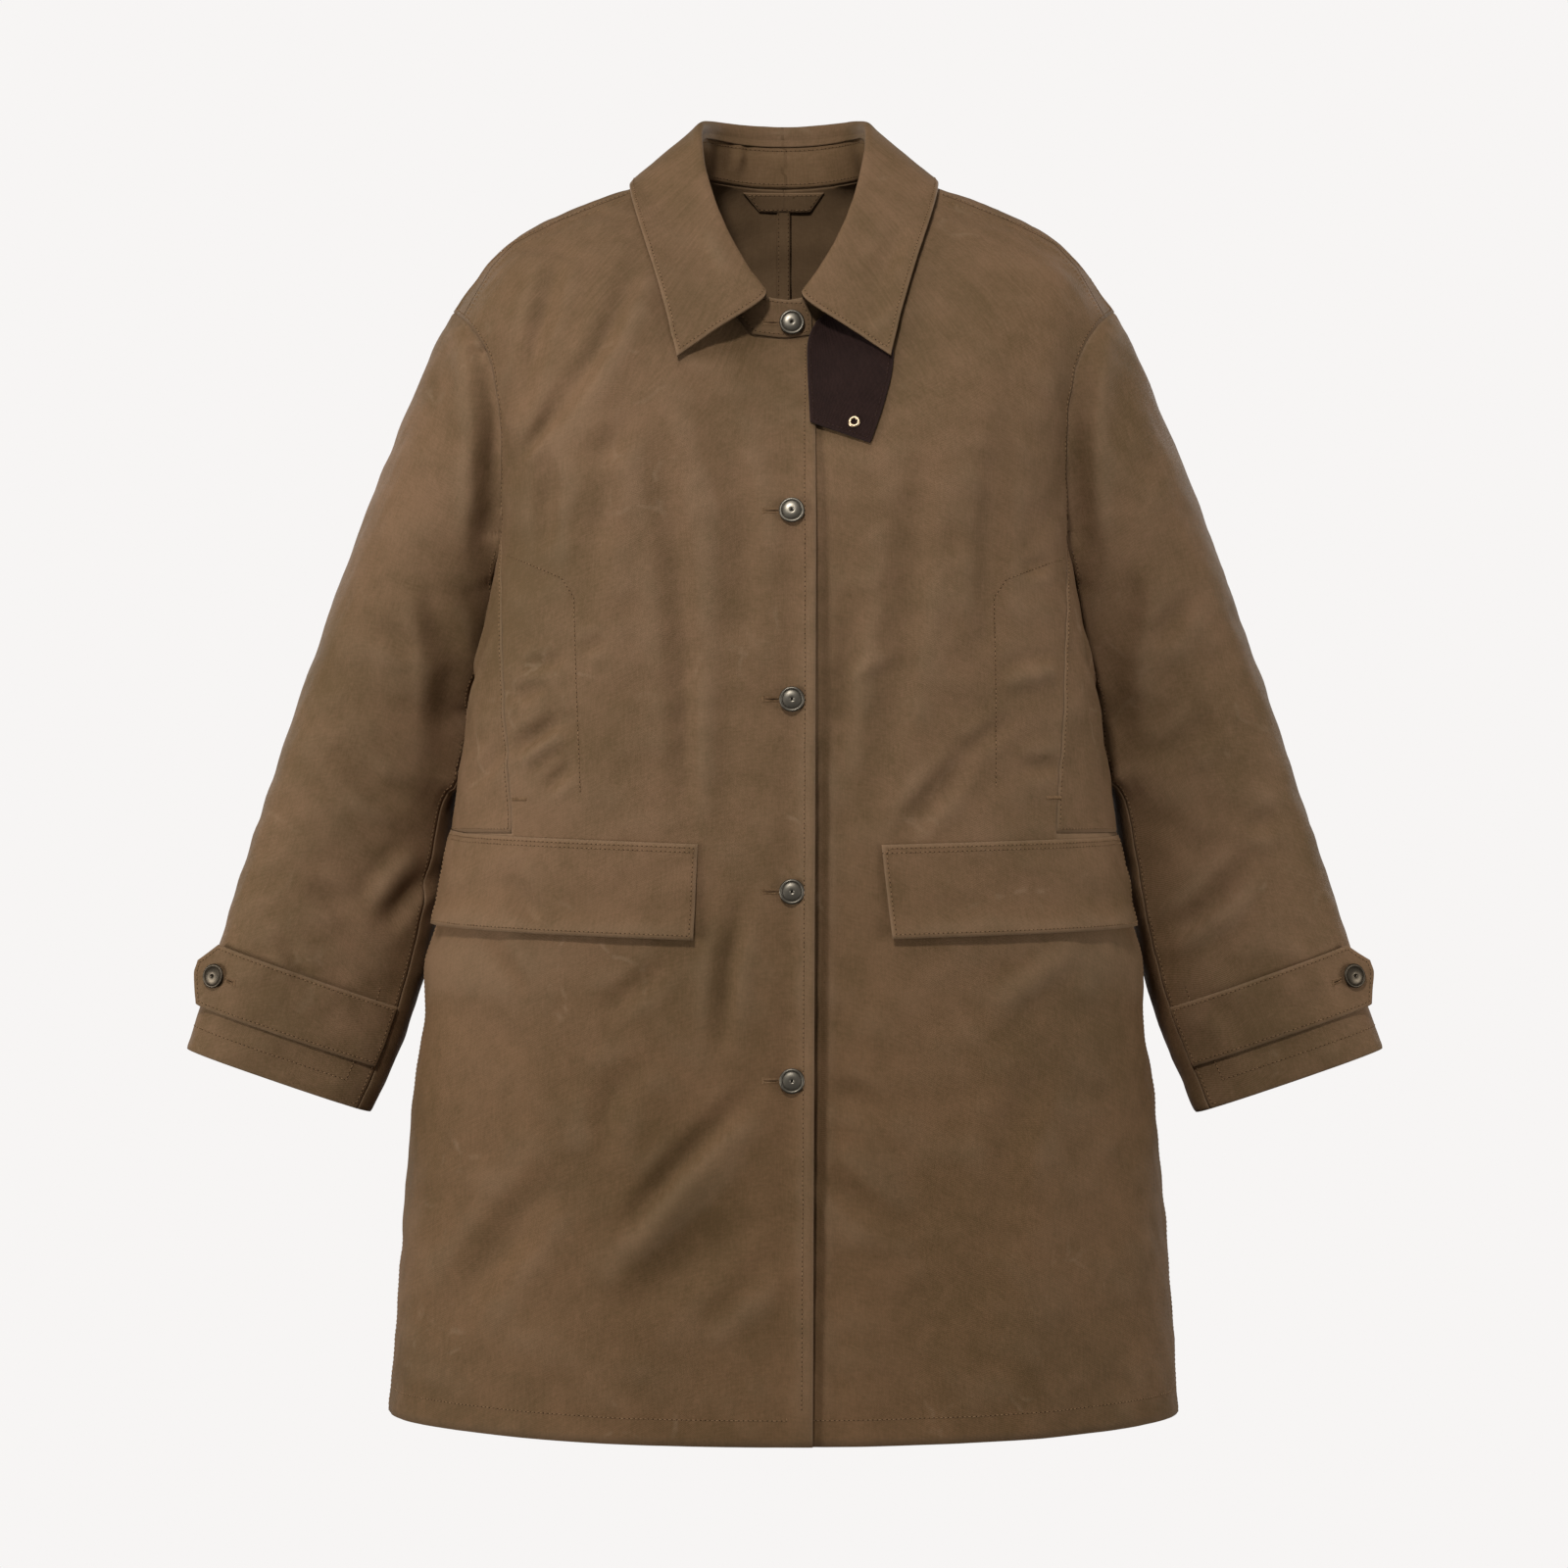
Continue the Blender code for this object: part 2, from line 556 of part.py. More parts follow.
def unit(vectors):
    return vectors / np.linalg.norm(vectors, axis=-1, keepdims=True)


def outward(grid, way=1.0):
    """Normals of a grid: rows crossed with columns, turned round where way is -1."""
    return unit(np.cross(np.gradient(grid, axis=0), np.gradient(grid, axis=1))) * way


def pulled_in(grid, side, distance):
    """Moves one border of the grid inwards along its rows or columns."""
    views = {
        "top": (grid[0], grid[1]),
        "bottom": (grid[-1], grid[-2]),
        "start": (grid[:, 0], grid[:, 1]),
        "end": (grid[:, -1], grid[:, -2]),
    }
    border, inner = views[side]
    border += unit(inner - border) * distance


def finish_material(finish):
    material = bpy.data.materials.get(finish.name)
    if material is None:
        material = bpy.data.materials.new(finish.name)
        material.use_nodes = True
        shader = material.node_tree.nodes["Principled BSDF"]
        shader.inputs["Base Color"].default_value = finish.colour
        shader.inputs["Roughness"].default_value = finish.roughness
        shader.inputs["Metallic"].default_value = finish.metallic
    return material


def add_object(name, mesh, finish):
    piece = bpy.data.objects.new(name, mesh)
    bpy.data.collections[COLLECTION].objects.link(piece)
    mesh.materials.append(finish_material(finish))
    mesh.shade_smooth()
    return piece


def grid_skin(grid, left_out=None):
    """Open mesh through a grid of points, without the cells that are left out."""
    rows, columns = grid.shape[:2]
    skin = bmesh.new()
    bmesh.ops.create_grid(skin, x_segments=columns - 1, y_segments=rows - 1, size=0.5)
    skin.verts.ensure_lookup_table()
    skin.faces.ensure_lookup_table()
    order = skin.verts.layers.int.new("order")
    for index, vert in enumerate(skin.verts):
        vert.co = grid[index // columns, index % columns]
        vert[order] = index
    if left_out is not None:
        gone = [face for face in skin.faces if left_out(*cell_of(face, order, columns))]
        bmesh.ops.delete(skin, geom=gone, context="FACES")
    return skin, order


def cell_of(face, order, columns):
    """Row and column of a grid face, from its lowest corner."""
    corner = min(vert[order] for vert in face.verts)
    return corner // columns, corner % columns


def cloth(name, grid, normals, side=1, finish=WAXED_COTTON, thickness=WALL, left_out=None):
    """A cloth wall: the grid is its outer skin, which is extruded inwards along the normals.

    Side -1 mirrors a piece that is given in the half with positive x.
    """
    skin, order = grid_skin(grid, left_out)
    inner = (grid - normals * thickness).reshape(-1, 3)
    copied = bmesh.ops.extrude_face_region(skin, geom=skin.faces[:], use_keep_orig=True)
    for vert in copied["geom"]:
        if isinstance(vert, bmesh.types.BMVert):
            vert.co = inner[vert[order]]
    if side < 0:
        bmesh.ops.scale(skin, vec=(-1.0, 1.0, 1.0), verts=skin.verts[:])
    bmesh.ops.recalc_face_normals(skin, faces=skin.faces[:])
    mesh = bpy.data.meshes.new(name)
    skin.to_mesh(mesh)
    skin.free()
    return add_object(name, mesh, finish)


def skin_tree(grids):
    """Search tree over outer skins, each a grid, its normals and a test for cells that are left out."""
    joined = bmesh.new()
    for grid, normals, left_out in grids:
        skin, order = grid_skin(grid, left_out)
        skin.normal_update()
        skin.faces.ensure_lookup_table()
        wanted = normals[cell_of(skin.faces[0], order, grid.shape[1])]
        if skin.faces[0].normal.dot(Vector(wanted)) < 0.0:
            bmesh.ops.reverse_faces(skin, faces=skin.faces[:])
        mesh = bpy.data.meshes.new("search_skin")
        skin.to_mesh(mesh)
        skin.free()
        joined.from_mesh(mesh)
        bpy.data.meshes.remove(mesh)
    tree = BVHTree.FromBMesh(joined)
    joined.free()
    return tree


def mirrored(grid, side):
    """A grid on the wearer's left (+1) or right (-1)."""
    return grid * np.array([side, 1.0, 1.0])


def body_side(side, name):
    """One front, side front and back. Returns their skins and normals for what rests on them."""
    bare = front_grid(side)
    reference = with_overlap(bare, False)
    front = with_overlap(bare, side > 0)
    front_normals = outward(front)
    side_front = side_front_grid(side)
    side_normals = outward(side_front)
    back = back_grid(side)
    back_normals = outward(back, -1.0)

    # The walls of two pieces share their normals at a seam, so their edges stay parallel
    seam_row = UPPER_ROWS + POCKET_ROWS
    pocket_column = FRONT_COLUMNS + 1
    side_normals[:, 0] = front_normals[UPPER_ROWS : seam_row + 1, pocket_column]
    side_normals[-1] = front_normals[seam_row, pocket_column:]
    for normals in (front_normals[seam_row:], side_normals, back_normals[UPPER_ROWS + 2 :]):
        normals[:, -1] = unit(normals[:, -1] * np.array([1.0, 0.0, 1.0]))
    back_normals[:, 0] = unit(back_normals[:, 0] * np.array([0.0, 1.0, 1.0]))
    front_shoulder = slice(NECK_COLUMNS + 1, pocket_column + 1)
    shoulder = unit(front_normals[0, front_shoulder] + back_normals[0, NECK_COLUMNS:])
    front_normals[0, front_shoulder] = shoulder
    back_normals[0, NECK_COLUMNS:] = shoulder

    def beside_front(row, column):
        return row < seam_row and column >= pocket_column

    def past_armhole(row, column):
        return row < UPPER_ROWS and column >= pocket_column

    skins = [
        (mirrored(reference, side), mirrored(front_normals, side), past_armhole),
        (mirrored(back, side), mirrored(back_normals, side), None),
    ]

    half_gap = SEAM_GAP / 2
    pulled_in(front[:, : pocket_column + 1], "top", half_gap)
    pulled_in(front[: seam_row + 1, : pocket_column + 1], "end", half_gap)
    pulled_in(front[seam_row:, pocket_column:], "top", half_gap)
    pulled_in(front[seam_row:], "end", half_gap)
    for border in ("top", "bottom", "start", "end"):
        pulled_in(side_front, border, half_gap)
    for border in ("top", "start", "end"):
        pulled_in(back, border, half_gap)

    cloth(f"front_{name}", front, front_normals, side, left_out=beside_front)
    cloth(f"side_front_{name}", side_front, side_normals, side)
    cloth(f"back_{name}", back, back_normals, side)
    return skins


def sleeve_pieces(side, name, body_tree):
    """Upper and under sleeve of one arm, cut from one ring of points."""
    first_turn = BACK_SEAM_TURN - 2 * math.pi
    upper_turns = np.linspace(first_turn, FRONT_SEAM_TURN, UPPER_SLEEVE_COLUMNS + 1)
    under_turns = np.linspace(FRONT_SEAM_TURN, BACK_SEAM_TURN, UNDER_SLEEVE_COLUMNS + 1)
    turns = np.r_[upper_turns, under_turns[1:]]
    shares = np.linspace(0.0, 1.0, SLEEVE_ROWS + 1)
    ring = np.array([sleeve_ring(share, turns[:-1], side, body_tree) for share in shares])
    closed = np.concatenate([ring[:, -1:], ring, ring[:, :2]], axis=1)
    normals = outward(closed, -1.0)[:, 1:-1]
    whole = closed[:, 1:-1]
    pieces = {
        "upper": slice(0, UPPER_SLEEVE_COLUMNS + 1),
        "under": slice(UPPER_SLEEVE_COLUMNS, len(turns)),
    }
    for piece, columns in pieces.items():
        grid = whole[:, columns].copy()
        pulled_in(grid, "top", ARMHOLE_GAP)
        pulled_in(grid, "start", SEAM_GAP / 2)
        pulled_in(grid, "end", SEAM_GAP / 2)
        cloth(f"sleeve_{piece}_{name}", grid, normals[:, columns], side)


def cuff_tab(side, name, body_tree):
    """Strap round the front of the cuff, from the sleeve seam to a point past the arm's edge."""
    shares = np.linspace(*CUFF_TAB_EDGES, CUFF_TAB_ROWS)
    turns = np.linspace(*CUFF_TAB_TURNS, CUFF_TAB_COLUMNS)
    grid = np.array([sleeve_ring(share, turns, side, body_tree) for share in shares])
    grid = grid + outward(grid) * CUFF_TAB_STAND_OFF
    way = unit(grid[:, -1] - grid[:, -2])
    widths = np.linspace(0.0, 1.0, len(shares))[:, None]
    columns = [grid]
    for step in CUFF_TAB_TIP:
        edge = grid[:, -1] + way * step.reach
        spread = mix(step.upper, step.lower, widths)
        columns.append((edge[0] + (edge[-1] - edge[0]) * spread)[:, None])
    grid = np.concatenate(columns, axis=1)
    normals = outward(grid)
    cloth(f"cuff_tab_{name}", grid, normals, side)
    return mirrored(grid, side), mirrored(normals, side), None


def neck_seam():
    """Points of half the neck seam, shared with the panels, from the centre back to the stand's end.

    The last four are the fall's end, the centre, and the fall's end and the stand's end past it.
    """
    shares = top_shares()[: NECK_COLUMNS + 1]
    back = top_edge(BACK_NECK, shares)
    front = top_edge(FRONT_NECK, shares)[::-1]
    edge, centre = front[-2], front[-1]
    fall_end = mix(centre, edge, COLLAR[-1].roll_x / edge[0])
    stand_end = mix(centre, edge, STAND_END / edge[0])
    past = np.stack([fall_end, stand_end]) * np.array([-1.0, 1.0, 1.0])
    return np.concatenate([back[:-1], front[:-1], fall_end[None], centre[None], past])


def stand_rows(base, heights):
    """Top edge of the stand over its base, and each base point's share of the way to the fall's end."""
    lengths = np.r_[0.0, np.cumsum(np.linalg.norm(np.diff(base, axis=0), axis=1))]
    shares = lengths / lengths[FALL_END]
    knots = [row.share for row in COLLAR]
    lean = hermite(knots, [row.lean for row in COLLAR], shares)[:, None]
    height = (hermite(knots, [row.height for row in COLLAR], shares) * heights)[:, None]
    inwards = unit(NECK_AXIS - base * np.array([1.0, 1.0, 0.0]))
    up = np.array([0.0, 0.0, 1.0])
    return base + height * (up * np.cos(lean) + inwards * np.sin(lean)), shares


def collar_stand():
    """Band round the neck. Its right end lies over its left end at the front.

    Returns its skin as it would lie with no overlap, for what rests across the neck seam.
    """
    base = neck_seam()
    heights = np.ones(len(base))
    heights[-2:] = STAND_END_HEIGHTS
    top, _ = stand_rows(base, heights)
    even = np.stack([mix(top, base, down) for down in (0.0, 0.5, 1.0)])
    halves = []
    for side in (-1, 1):
        half = even
        if side > 0:
            near, far = UNDERLAP_RAMP
            ramp = 1.0 - ease((half[..., 0] - near) / (far - near))
            drop = np.where(half[..., 1] < 0.0, UNDERLAP_DROP * ramp, 0.0)
            half = half - outward(half, -1.0) * drop[..., None]
        halves.append(mirrored(half, side))
    grid = np.concatenate([halves[0][:, ::-1], halves[1][:, 1:]], axis=1)
    normals = outward(grid, -1.0)
    pulled_in(grid, "bottom", 2 * SEAM_GAP)
    cloth("collar_stand", grid, normals)
    ring = np.concatenate([mirrored(even, -1)[:, ::-1], even[:, 1:]], axis=1)
    return ring, normals, None


def collar_fall(body_tree):
    """Fall of the collar: from the stand's top edge over the roll and down to the outer edge."""
    base = neck_seam()[: FALL_END + 1]
    top, shares = stand_rows(base, np.ones(len(base)))
    knots = [row.share for row in COLLAR]
    stand_normals = outward(np.stack([top, base]), -1.0)[0]
    inner = top - stand_normals * WALL
    roll = hermite(knots, [row[3:6] for row in COLLAR], shares)
    edge = hermite(knots, [row[6:9] for row in COLLAR], shares)
    away = unit((roll - NECK_AXIS) * np.array([1.0, 1.0, 0.0]))
    down = np.array([0.0, 0.0, -1.0])
    shoulder = roll + away * COLLAR_ROLL_WIDTH + down * COLLAR_ROLL_DROP
    seam = inner + unit(top - base) * 2 * SEAM_GAP
    middle = (shoulder + edge) / 2 + away * COLLAR_BULGE_OUT - down * COLLAR_BULGE_UP
    knot_rows = np.stack([seam, roll, shoulder, middle, edge])
    half = hermite(COLLAR_LINES[::2], knot_rows, np.array(COLLAR_LINES))
    sides = []
    seam_normals = []
    for side in (-1, 1):
        placed = mirrored(half, side)
        for row in range(len(COLLAR_LINES) // 2 + 1, len(COLLAR_LINES)):
            placed[row] = [lifted(point, body_tree, COLLAR_CLEAR[side]) for point in placed[row]]
        sides.append(placed)
        seam_normals.append(-mirrored(stand_normals, side))
    grid = np.concatenate([sides[0][:, ::-1], sides[1][:, 1:]], axis=1)
    normals = outward(grid)
    normals[0] = np.concatenate([seam_normals[0][::-1], seam_normals[1][1:]])
    cloth("collar_fall", grid, normals)


def on_front(tree, x, z):
    """Place and outward normal of what faces the front at x and z."""
    place, normal, _, _ = tree.ray_cast(Vector((x, -1.0, z)), Vector((0.0, 1.0, 0.0)))
    return np.array(place), np.array(normal)


def pocket_flap(side, name):
    """Flap from the flap seam, standing off the front towards its free bottom edge."""
    top, bottom = FLAP[side]
    rows = []
    for down in np.linspace(0.0, 1.0, FLAP_ROWS):
        edge = FlapCorner(*mix(np.array(top), np.array(bottom), down))
        row = []
        for across in np.linspace(0.0, 1.0, FLAP_COLUMNS):
            curve = section_curve(mix(edge.inner_z, edge.outer_z, across), -1)
            inner = share_at_x(curve, edge.inner_x)
            row.append(along(curve, [mix(inner, edge.outer_share, across)])[0])
        rows.append(row)
    grid = np.array(rows)
    normals = outward(grid)
    stand_off = np.linspace(top.stand_off, bottom.stand_off, len(rows))[:, None, None]
    cloth(f"pocket_flap_{name}", grid + normals * stand_off, normals, side)


def throat_tab(front_tree):
    """Dark tab that lies on the wearer's left front, its top under the collar. Returns its skin."""
    places = np.linspace(0, len(THROAT_TAB) - 1, TAB_ROWS)
    rows = hermite(np.arange(len(THROAT_TAB)), THROAT_TAB, places)
    grid = []
    for row in rows:
        edges = TabRow(*row)
        line = []
        for across in np.linspace(0.0, 1.0, TAB_COLUMNS):
            x = mix(edges.left_x, edges.right_x, across)
            z = mix(edges.left_z, edges.right_z, across)
            line.append(on_front(front_tree, x, z)[0])
        grid.append(line)
    grid = np.array(grid)
    normals = outward(grid)
    grid = grid + normals * TAB_STAND_OFF
    cloth("throat_tab", grid, normals, finish=TAB_CLOTH)
    return grid, normals, None


def hanger_loop(back_tree):
    """Strip inside the back neck, just clear of the back."""
    grid = []
    for down in (0.0, 0.5, 1.0):
        edge = LoopEdge(*mix(np.array(HANGER_LOOP[0]), np.array(HANGER_LOOP[1]), down))
        line = []
        for x in np.linspace(edge.left_x, edge.right_x, LOOP_COLUMNS):
            start = Vector((x, 0.0, edge.level))
            place, _, _, _ = back_tree.ray_cast(start, Vector((0.0, 1.0, 0.0)))
            line.append(place - Vector((0.0, WALL + LOOP_CLEAR + LOOP_WALL, 0.0)))
        grid.append(line)
    grid = np.array(grid)
    cloth("hanger_loop", grid, outward(grid), thickness=LOOP_WALL)


def turned(name, points, closed, finish, place, normal):
    """A turned piece: its profile spun round the normal of the cloth it sits on."""
    mesh = bpy.data.meshes.new(name)
    lathe = bmesh.new()
    verts = [lathe.verts.new((point.radius, 0.0, point.height)) for point in points]
    for first, second in zip(verts, verts[1:]):
        lathe.edges.new((first, second))
    if closed:
        lathe.edges.new((verts[-1], verts[0]))
    lathe.to_mesh(mesh)
    lathe.free()
    piece = add_object(name, mesh, finish)
    piece.location = place
    piece.rotation_euler = Vector(normal).to_track_quat("Z", "Y").to_euler()
    spin = piece.modifiers.new("turn", "SCREW")
    spin.axis = "Z"
    spin.steps = TURN_STEPS
    spin.render_steps = TURN_STEPS
    spin.use_merge_vertices = True
    spin.merge_threshold = MERGE_DISTANCE


def clear_scene():
    for old in list(bpy.data.objects):
        bpy.data.objects.remove(old)
    part = bpy.data.collections.new(COLLECTION)
    bpy.context.scene.collection.children.link(part)


def main():
    clear_scene()
    sides = ((-1, "right"), (1, "left"))
    skins = [skin for side, name in sides for skin in body_side(side, name)]
    body_tree = skin_tree(skins)
    half_tree = skin_tree(skins[2:])
    for side, name in sides:
        sleeve_pieces(side, name, half_tree)
        tab = cuff_tab(side, name, half_tree)
        x, z = CUFF_BUTTON_PLACE
        place, normal = on_front(skin_tree([tab]), side * x, z)
        turned(f"cuff_button_{name}", BUTTON_PROFILE, False, BUTTON_METAL, place, normal)
        pocket_flap(side, name)
    stand = collar_stand()
    collar_fall(body_tree)
    button_tree = skin_tree([*skins, stand])
    tab = throat_tab(button_tree)
    hanger_loop(body_tree)
    place, normal = on_front(skin_tree([tab]), *EYELET_PLACE)
    turned("throat_tab_eyelet", EYELET_PROFILE, True, EYELET_METAL, place, normal)
    for number, level in enumerate(BUTTON_LEVELS, 1):
        place, normal = on_front(button_tree, BUTTON_X, level)
        turned(f"front_button_{number}", BUTTON_PROFILE, False, BUTTON_METAL, place, normal)


main()
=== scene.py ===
"""Waxed-cotton coat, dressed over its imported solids: cloth shells, creases, stitching and metal.

Metres, +Z up, the coat's front faces -Y and the wearer's left is +X.
"""

from __future__ import annotations

import logging
import math
from collections.abc import Callable, Sequence
from dataclasses import dataclass, field
from enum import Enum, IntEnum

import bmesh
import bpy
import numpy as np
from mathutils import Matrix, Vector
from mathutils.bvhtree import BVHTree
from mathutils.kdtree import KDTree

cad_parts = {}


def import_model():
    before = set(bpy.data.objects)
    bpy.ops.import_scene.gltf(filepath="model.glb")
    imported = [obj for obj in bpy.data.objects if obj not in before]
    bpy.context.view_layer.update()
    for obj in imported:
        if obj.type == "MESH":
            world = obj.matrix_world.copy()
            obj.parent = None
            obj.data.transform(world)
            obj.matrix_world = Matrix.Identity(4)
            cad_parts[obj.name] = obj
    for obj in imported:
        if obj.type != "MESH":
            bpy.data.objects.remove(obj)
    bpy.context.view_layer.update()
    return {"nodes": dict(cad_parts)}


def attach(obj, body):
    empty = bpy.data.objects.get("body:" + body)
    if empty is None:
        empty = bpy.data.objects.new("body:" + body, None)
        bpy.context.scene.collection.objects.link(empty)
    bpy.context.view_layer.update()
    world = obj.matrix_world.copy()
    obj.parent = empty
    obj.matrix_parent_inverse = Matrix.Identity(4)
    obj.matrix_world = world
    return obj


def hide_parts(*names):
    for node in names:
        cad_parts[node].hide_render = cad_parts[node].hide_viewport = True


log = logging.getLogger("coat")

BODY = "root"
SIDES = ((-1, "right"), (1, "left"))
FLAP_SEAM = -0.4900
NO_LENGTH = 1e-14

# Quad cage of a node: distance at which points are one, and the largest turn and skew of a joined quad
MERGE_DISTANCE = 0.00002
QUAD_TURN = math.radians(50.0)
QUAD_SKEW = math.radians(75.0)

# Form of a crease: its strength; the swell beside it as a share of its depth, with its place and its
# breadth in widths; how it fades at its ends; and the turn from its side over which it is lost
FOLD_STRENGTH = 1.8
SWELL_SHARE = 0.34
SWELL_PLACE = 1.7
SWELL_BREADTH = 0.9
END_FADE = 0.7
TURN_SPAN = 0.35

# Turn towards its neighbour over which a leaning side takes its full lean
LEAN_SPAN = 0.5

# Small waves of the cloth: share of the piece's height, longest wave and seed
RUMPLES = ((1.0, 0.085, 7), (0.22, 0.034, 11))

# Octaves of such waves: how many, how much finer and lower each is than the last, how far its crests
# bend and over what share of its length, and the height of their sum
OCTAVES = 5
FINER = 1.45
LOWER = 1.3
CREST_BEND = 1.4
BEND_SHARE = 0.4
WAVE_SUM = 2.4

# Lift at which a ridge would be worn through, and the most wear that a ridge gets
WORN_LIFT = 0.004
RIDGE_WEAR = 0.5

# Stitch rows: step between a route's points, place along Y from which it looks for cloth, share of the
# inset that a row keeps from its border at corners, gap that parts a row in two, and number of border
# points that is too few for a row
ROUTE_STEP = 0.0015
BEFORE_COAT = -1.0
CORNER_CLEAR = 0.93
ROW_BREAK = 0.012
SHORTEST_RUN = 6


class Skin(IntEnum):
    """Part of a cloth wall that a face belongs to, kept as its material index."""

    OUTER = 0
    INNER = 1
    RIM = 2


class Facing(Enum):
    """Way that a side of the coat looks, along X and Y."""

    FRONT = (0.0, -1.0)
    BACK = (0.0, 1.0)
    RIGHT = (-1.0, 0.0)
    LEFT = (1.0, 0.0)


class Grain(Enum):
    """What the threads of a piece run round: its axis at the top and at the bottom, and a radius."""

    BODY = ((0.0, -0.010, 0.0), (0.0, -0.005, -0.900), 0.210)
    NECK = ((0.0, -0.012, 0.050), (0.0, -0.012, -0.140), 0.085)
    ARM = ((0.236, 0.0, -0.210), (0.376, 0.030, -0.666), 0.066)


@dataclass(frozen=True)
class Crease:
    """Soft trough or ridge along a path drawn on one side of the coat.

    Attributes:
        path: Points that the crease passes through, (x, z) on the front or back and (y, z) on a side.
        depth: Height of a ridge, or of a trough where it is negative.
        width: Distance over which it fades to either side.
        facing: Side of the coat that it lies on.
    """

    path: tuple[tuple[float, float], ...]
    depth: float
    width: float
    facing: Facing = Facing.FRONT


# Creases of the fronts, from the photograph's left to its right and from the collar to the hem
FRONT_CREASES = (
    Crease(((-0.104, -0.060), (-0.129, -0.124), (-0.154, -0.162), (-0.192, -0.211)), -0.0019, 0.0080),
    Crease(((-0.094, -0.075), (-0.116, -0.135), (-0.140, -0.175), (-0.178, -0.225)), 0.0012, 0.0100),
    Crease(((-0.163, -0.062), (-0.173, -0.099), (-0.184, -0.141), (-0.192, -0.176)), -0.0026, 0.0080),
    Crease(((-0.164, -0.176), (-0.192, -0.211)), -0.0018, 0.0045),
    Crease(((-0.059, -0.160), (-0.042, -0.211), (-0.031, -0.257), (-0.031, -0.355)), -0.0024, 0.0120),
    Crease(((-0.091, -0.190), (-0.084, -0.243), (-0.077, -0.292), (-0.066, -0.455)), -0.0022, 0.0110),
    Crease(((-0.059, -0.360), (-0.056, -0.475)), 0.0020, 0.0090),
    Crease(((-0.126, -0.204), (-0.138, -0.274), (-0.140, -0.325)), -0.0022, 0.0120),
    Crease(((-0.171, -0.205), (-0.171, -0.278)), -0.0018, 0.0075),
    Crease(((-0.105, -0.180), (-0.143, -0.222)), -0.0016, 0.0090),
    Crease(((0.106, -0.205), (0.091, -0.264), (0.086, -0.327), (0.066, -0.462)), -0.0024, 0.0120),
    Crease(((0.155, -0.190), (0.149, -0.271), (0.148, -0.337), (0.130, -0.360)), -0.0022, 0.0100),
    Crease(((0.049, -0.320), (0.039, -0.379), (0.035, -0.428)), -0.0018, 0.0100),
    Crease(((0.080, -0.352), (0.046, -0.371)), 0.0014, 0.0055),
    Crease(((0.133, -0.425), (0.106, -0.456), (0.086, -0.479)), -0.0030, 0.0085),
    Crease(((0.155, -0.374), (0.201, -0.362)), 0.0018, 0.0065),
    Crease(((0.201, -0.432), (0.168, -0.434)), -0.0018, 0.0060),
    Crease(((0.166, -0.398), (0.125, -0.426)), -0.0016, 0.0065),
    Crease(((0.194, -0.286), (0.170, -0.293)), -0.0014, 0.0055),
    Crease(((-0.161, -0.399), (-0.196, -0.421)), -0.0030, 0.0060),
    Crease(((-0.158, -0.411), (-0.190, -0.431)), 0.0020, 0.0050),
    Crease(((-0.188, -0.363), (-0.158, -0.356)), -0.0020, 0.0055),
    Crease(((-0.195, -0.384), (-0.172, -0.374)), -0.0018, 0.0050),
    Crease(((-0.173, -0.449), (-0.151, -0.433)), -0.0020, 0.0055),
    Crease(((-0.146, -0.349), (-0.126, -0.342)), -0.0014, 0.0055),
    Crease(((-0.201, -0.417), (-0.222, -0.444)), -0.0018, 0.0060),
    Crease(((-0.020, -0.664), (-0.049, -0.691), (-0.077, -0.719), (-0.117, -0.768)), -0.0031, 0.0085),
    Crease(((-0.020, -0.690), (-0.055, -0.722), (-0.084, -0.754), (-0.128, -0.812)), 0.0018, 0.0150),
    Crease(((-0.001, -0.776), (-0.024, -0.800), (-0.064, -0.835)), -0.0015, 0.0090),
    Crease(((-0.007, -0.752), (-0.065, -0.785), (-0.132, -0.828)), -0.0026, 0.0190),
    Crease(((-0.160, -0.722), (-0.190, -0.760), (-0.215, -0.792), (-0.243, -0.832)), -0.0030, 0.0150),
    Crease(((-0.080, -0.573), (-0.132, -0.609)), -0.0022, 0.0080),
    Crease(((-0.212, -0.556), (-0.183, -0.595)), -0.0014, 0.0070),
    Crease(((-0.030, -0.528), (-0.042, -0.579), (-0.045, -0.638)), -0.0028, 0.0080),
    Crease(((-0.092, -0.638), (-0.126, -0.670), (-0.129, -0.720)), -0.0018, 0.0100),
    Crease(((-0.201, -0.511), (-0.176, -0.546)), -0.0016, 0.0080),
    Crease(((0.214, -0.560), (0.152, -0.609)), 0.0018, 0.0090),
    Crease(((0.030, -0.660), (0.077, -0.684)), -0.0020, 0.0090),
    Crease(((0.028, -0.722), (0.076, -0.763)), -0.0022, 0.0100),
    Crease(((0.190, -0.640), (0.165, -0.690), (0.158, -0.760)), -0.0016, 0.0140),
)

# Free edge of the right front, which stands a little off the left front
EDGE_CURL = (
    Crease(
        ((0.0226, -0.190), (0.0232, -0.330), (0.0218, -0.520), (0.0200, -0.700), (0.0176, -0.945)),
        0.0022, 0.0110,
    ),
)

# Free bottom edges of the pocket flaps, which stand off the fronts
FLAP_CURL = (
    Crease(((-0.290, -0.546), (-0.236, -0.549), (-0.064, -0.558), (-0.020, -0.560)), 0.0016, 0.0120),
    Crease(((0.290, -0.547), (0.246, -0.550), (0.076, -0.558), (0.030, -0.560)), 0.0016, 0.0120),
)

# Hollow of the left front beside that edge
UNDERLAP = (
    Crease(
        ((0.0262, -0.190), (0.0266, -0.330), (0.0252, -0.520), (0.0234, -0.700), (0.0210, -0.945)),
        -0.0024, 0.0050,
    ),
)

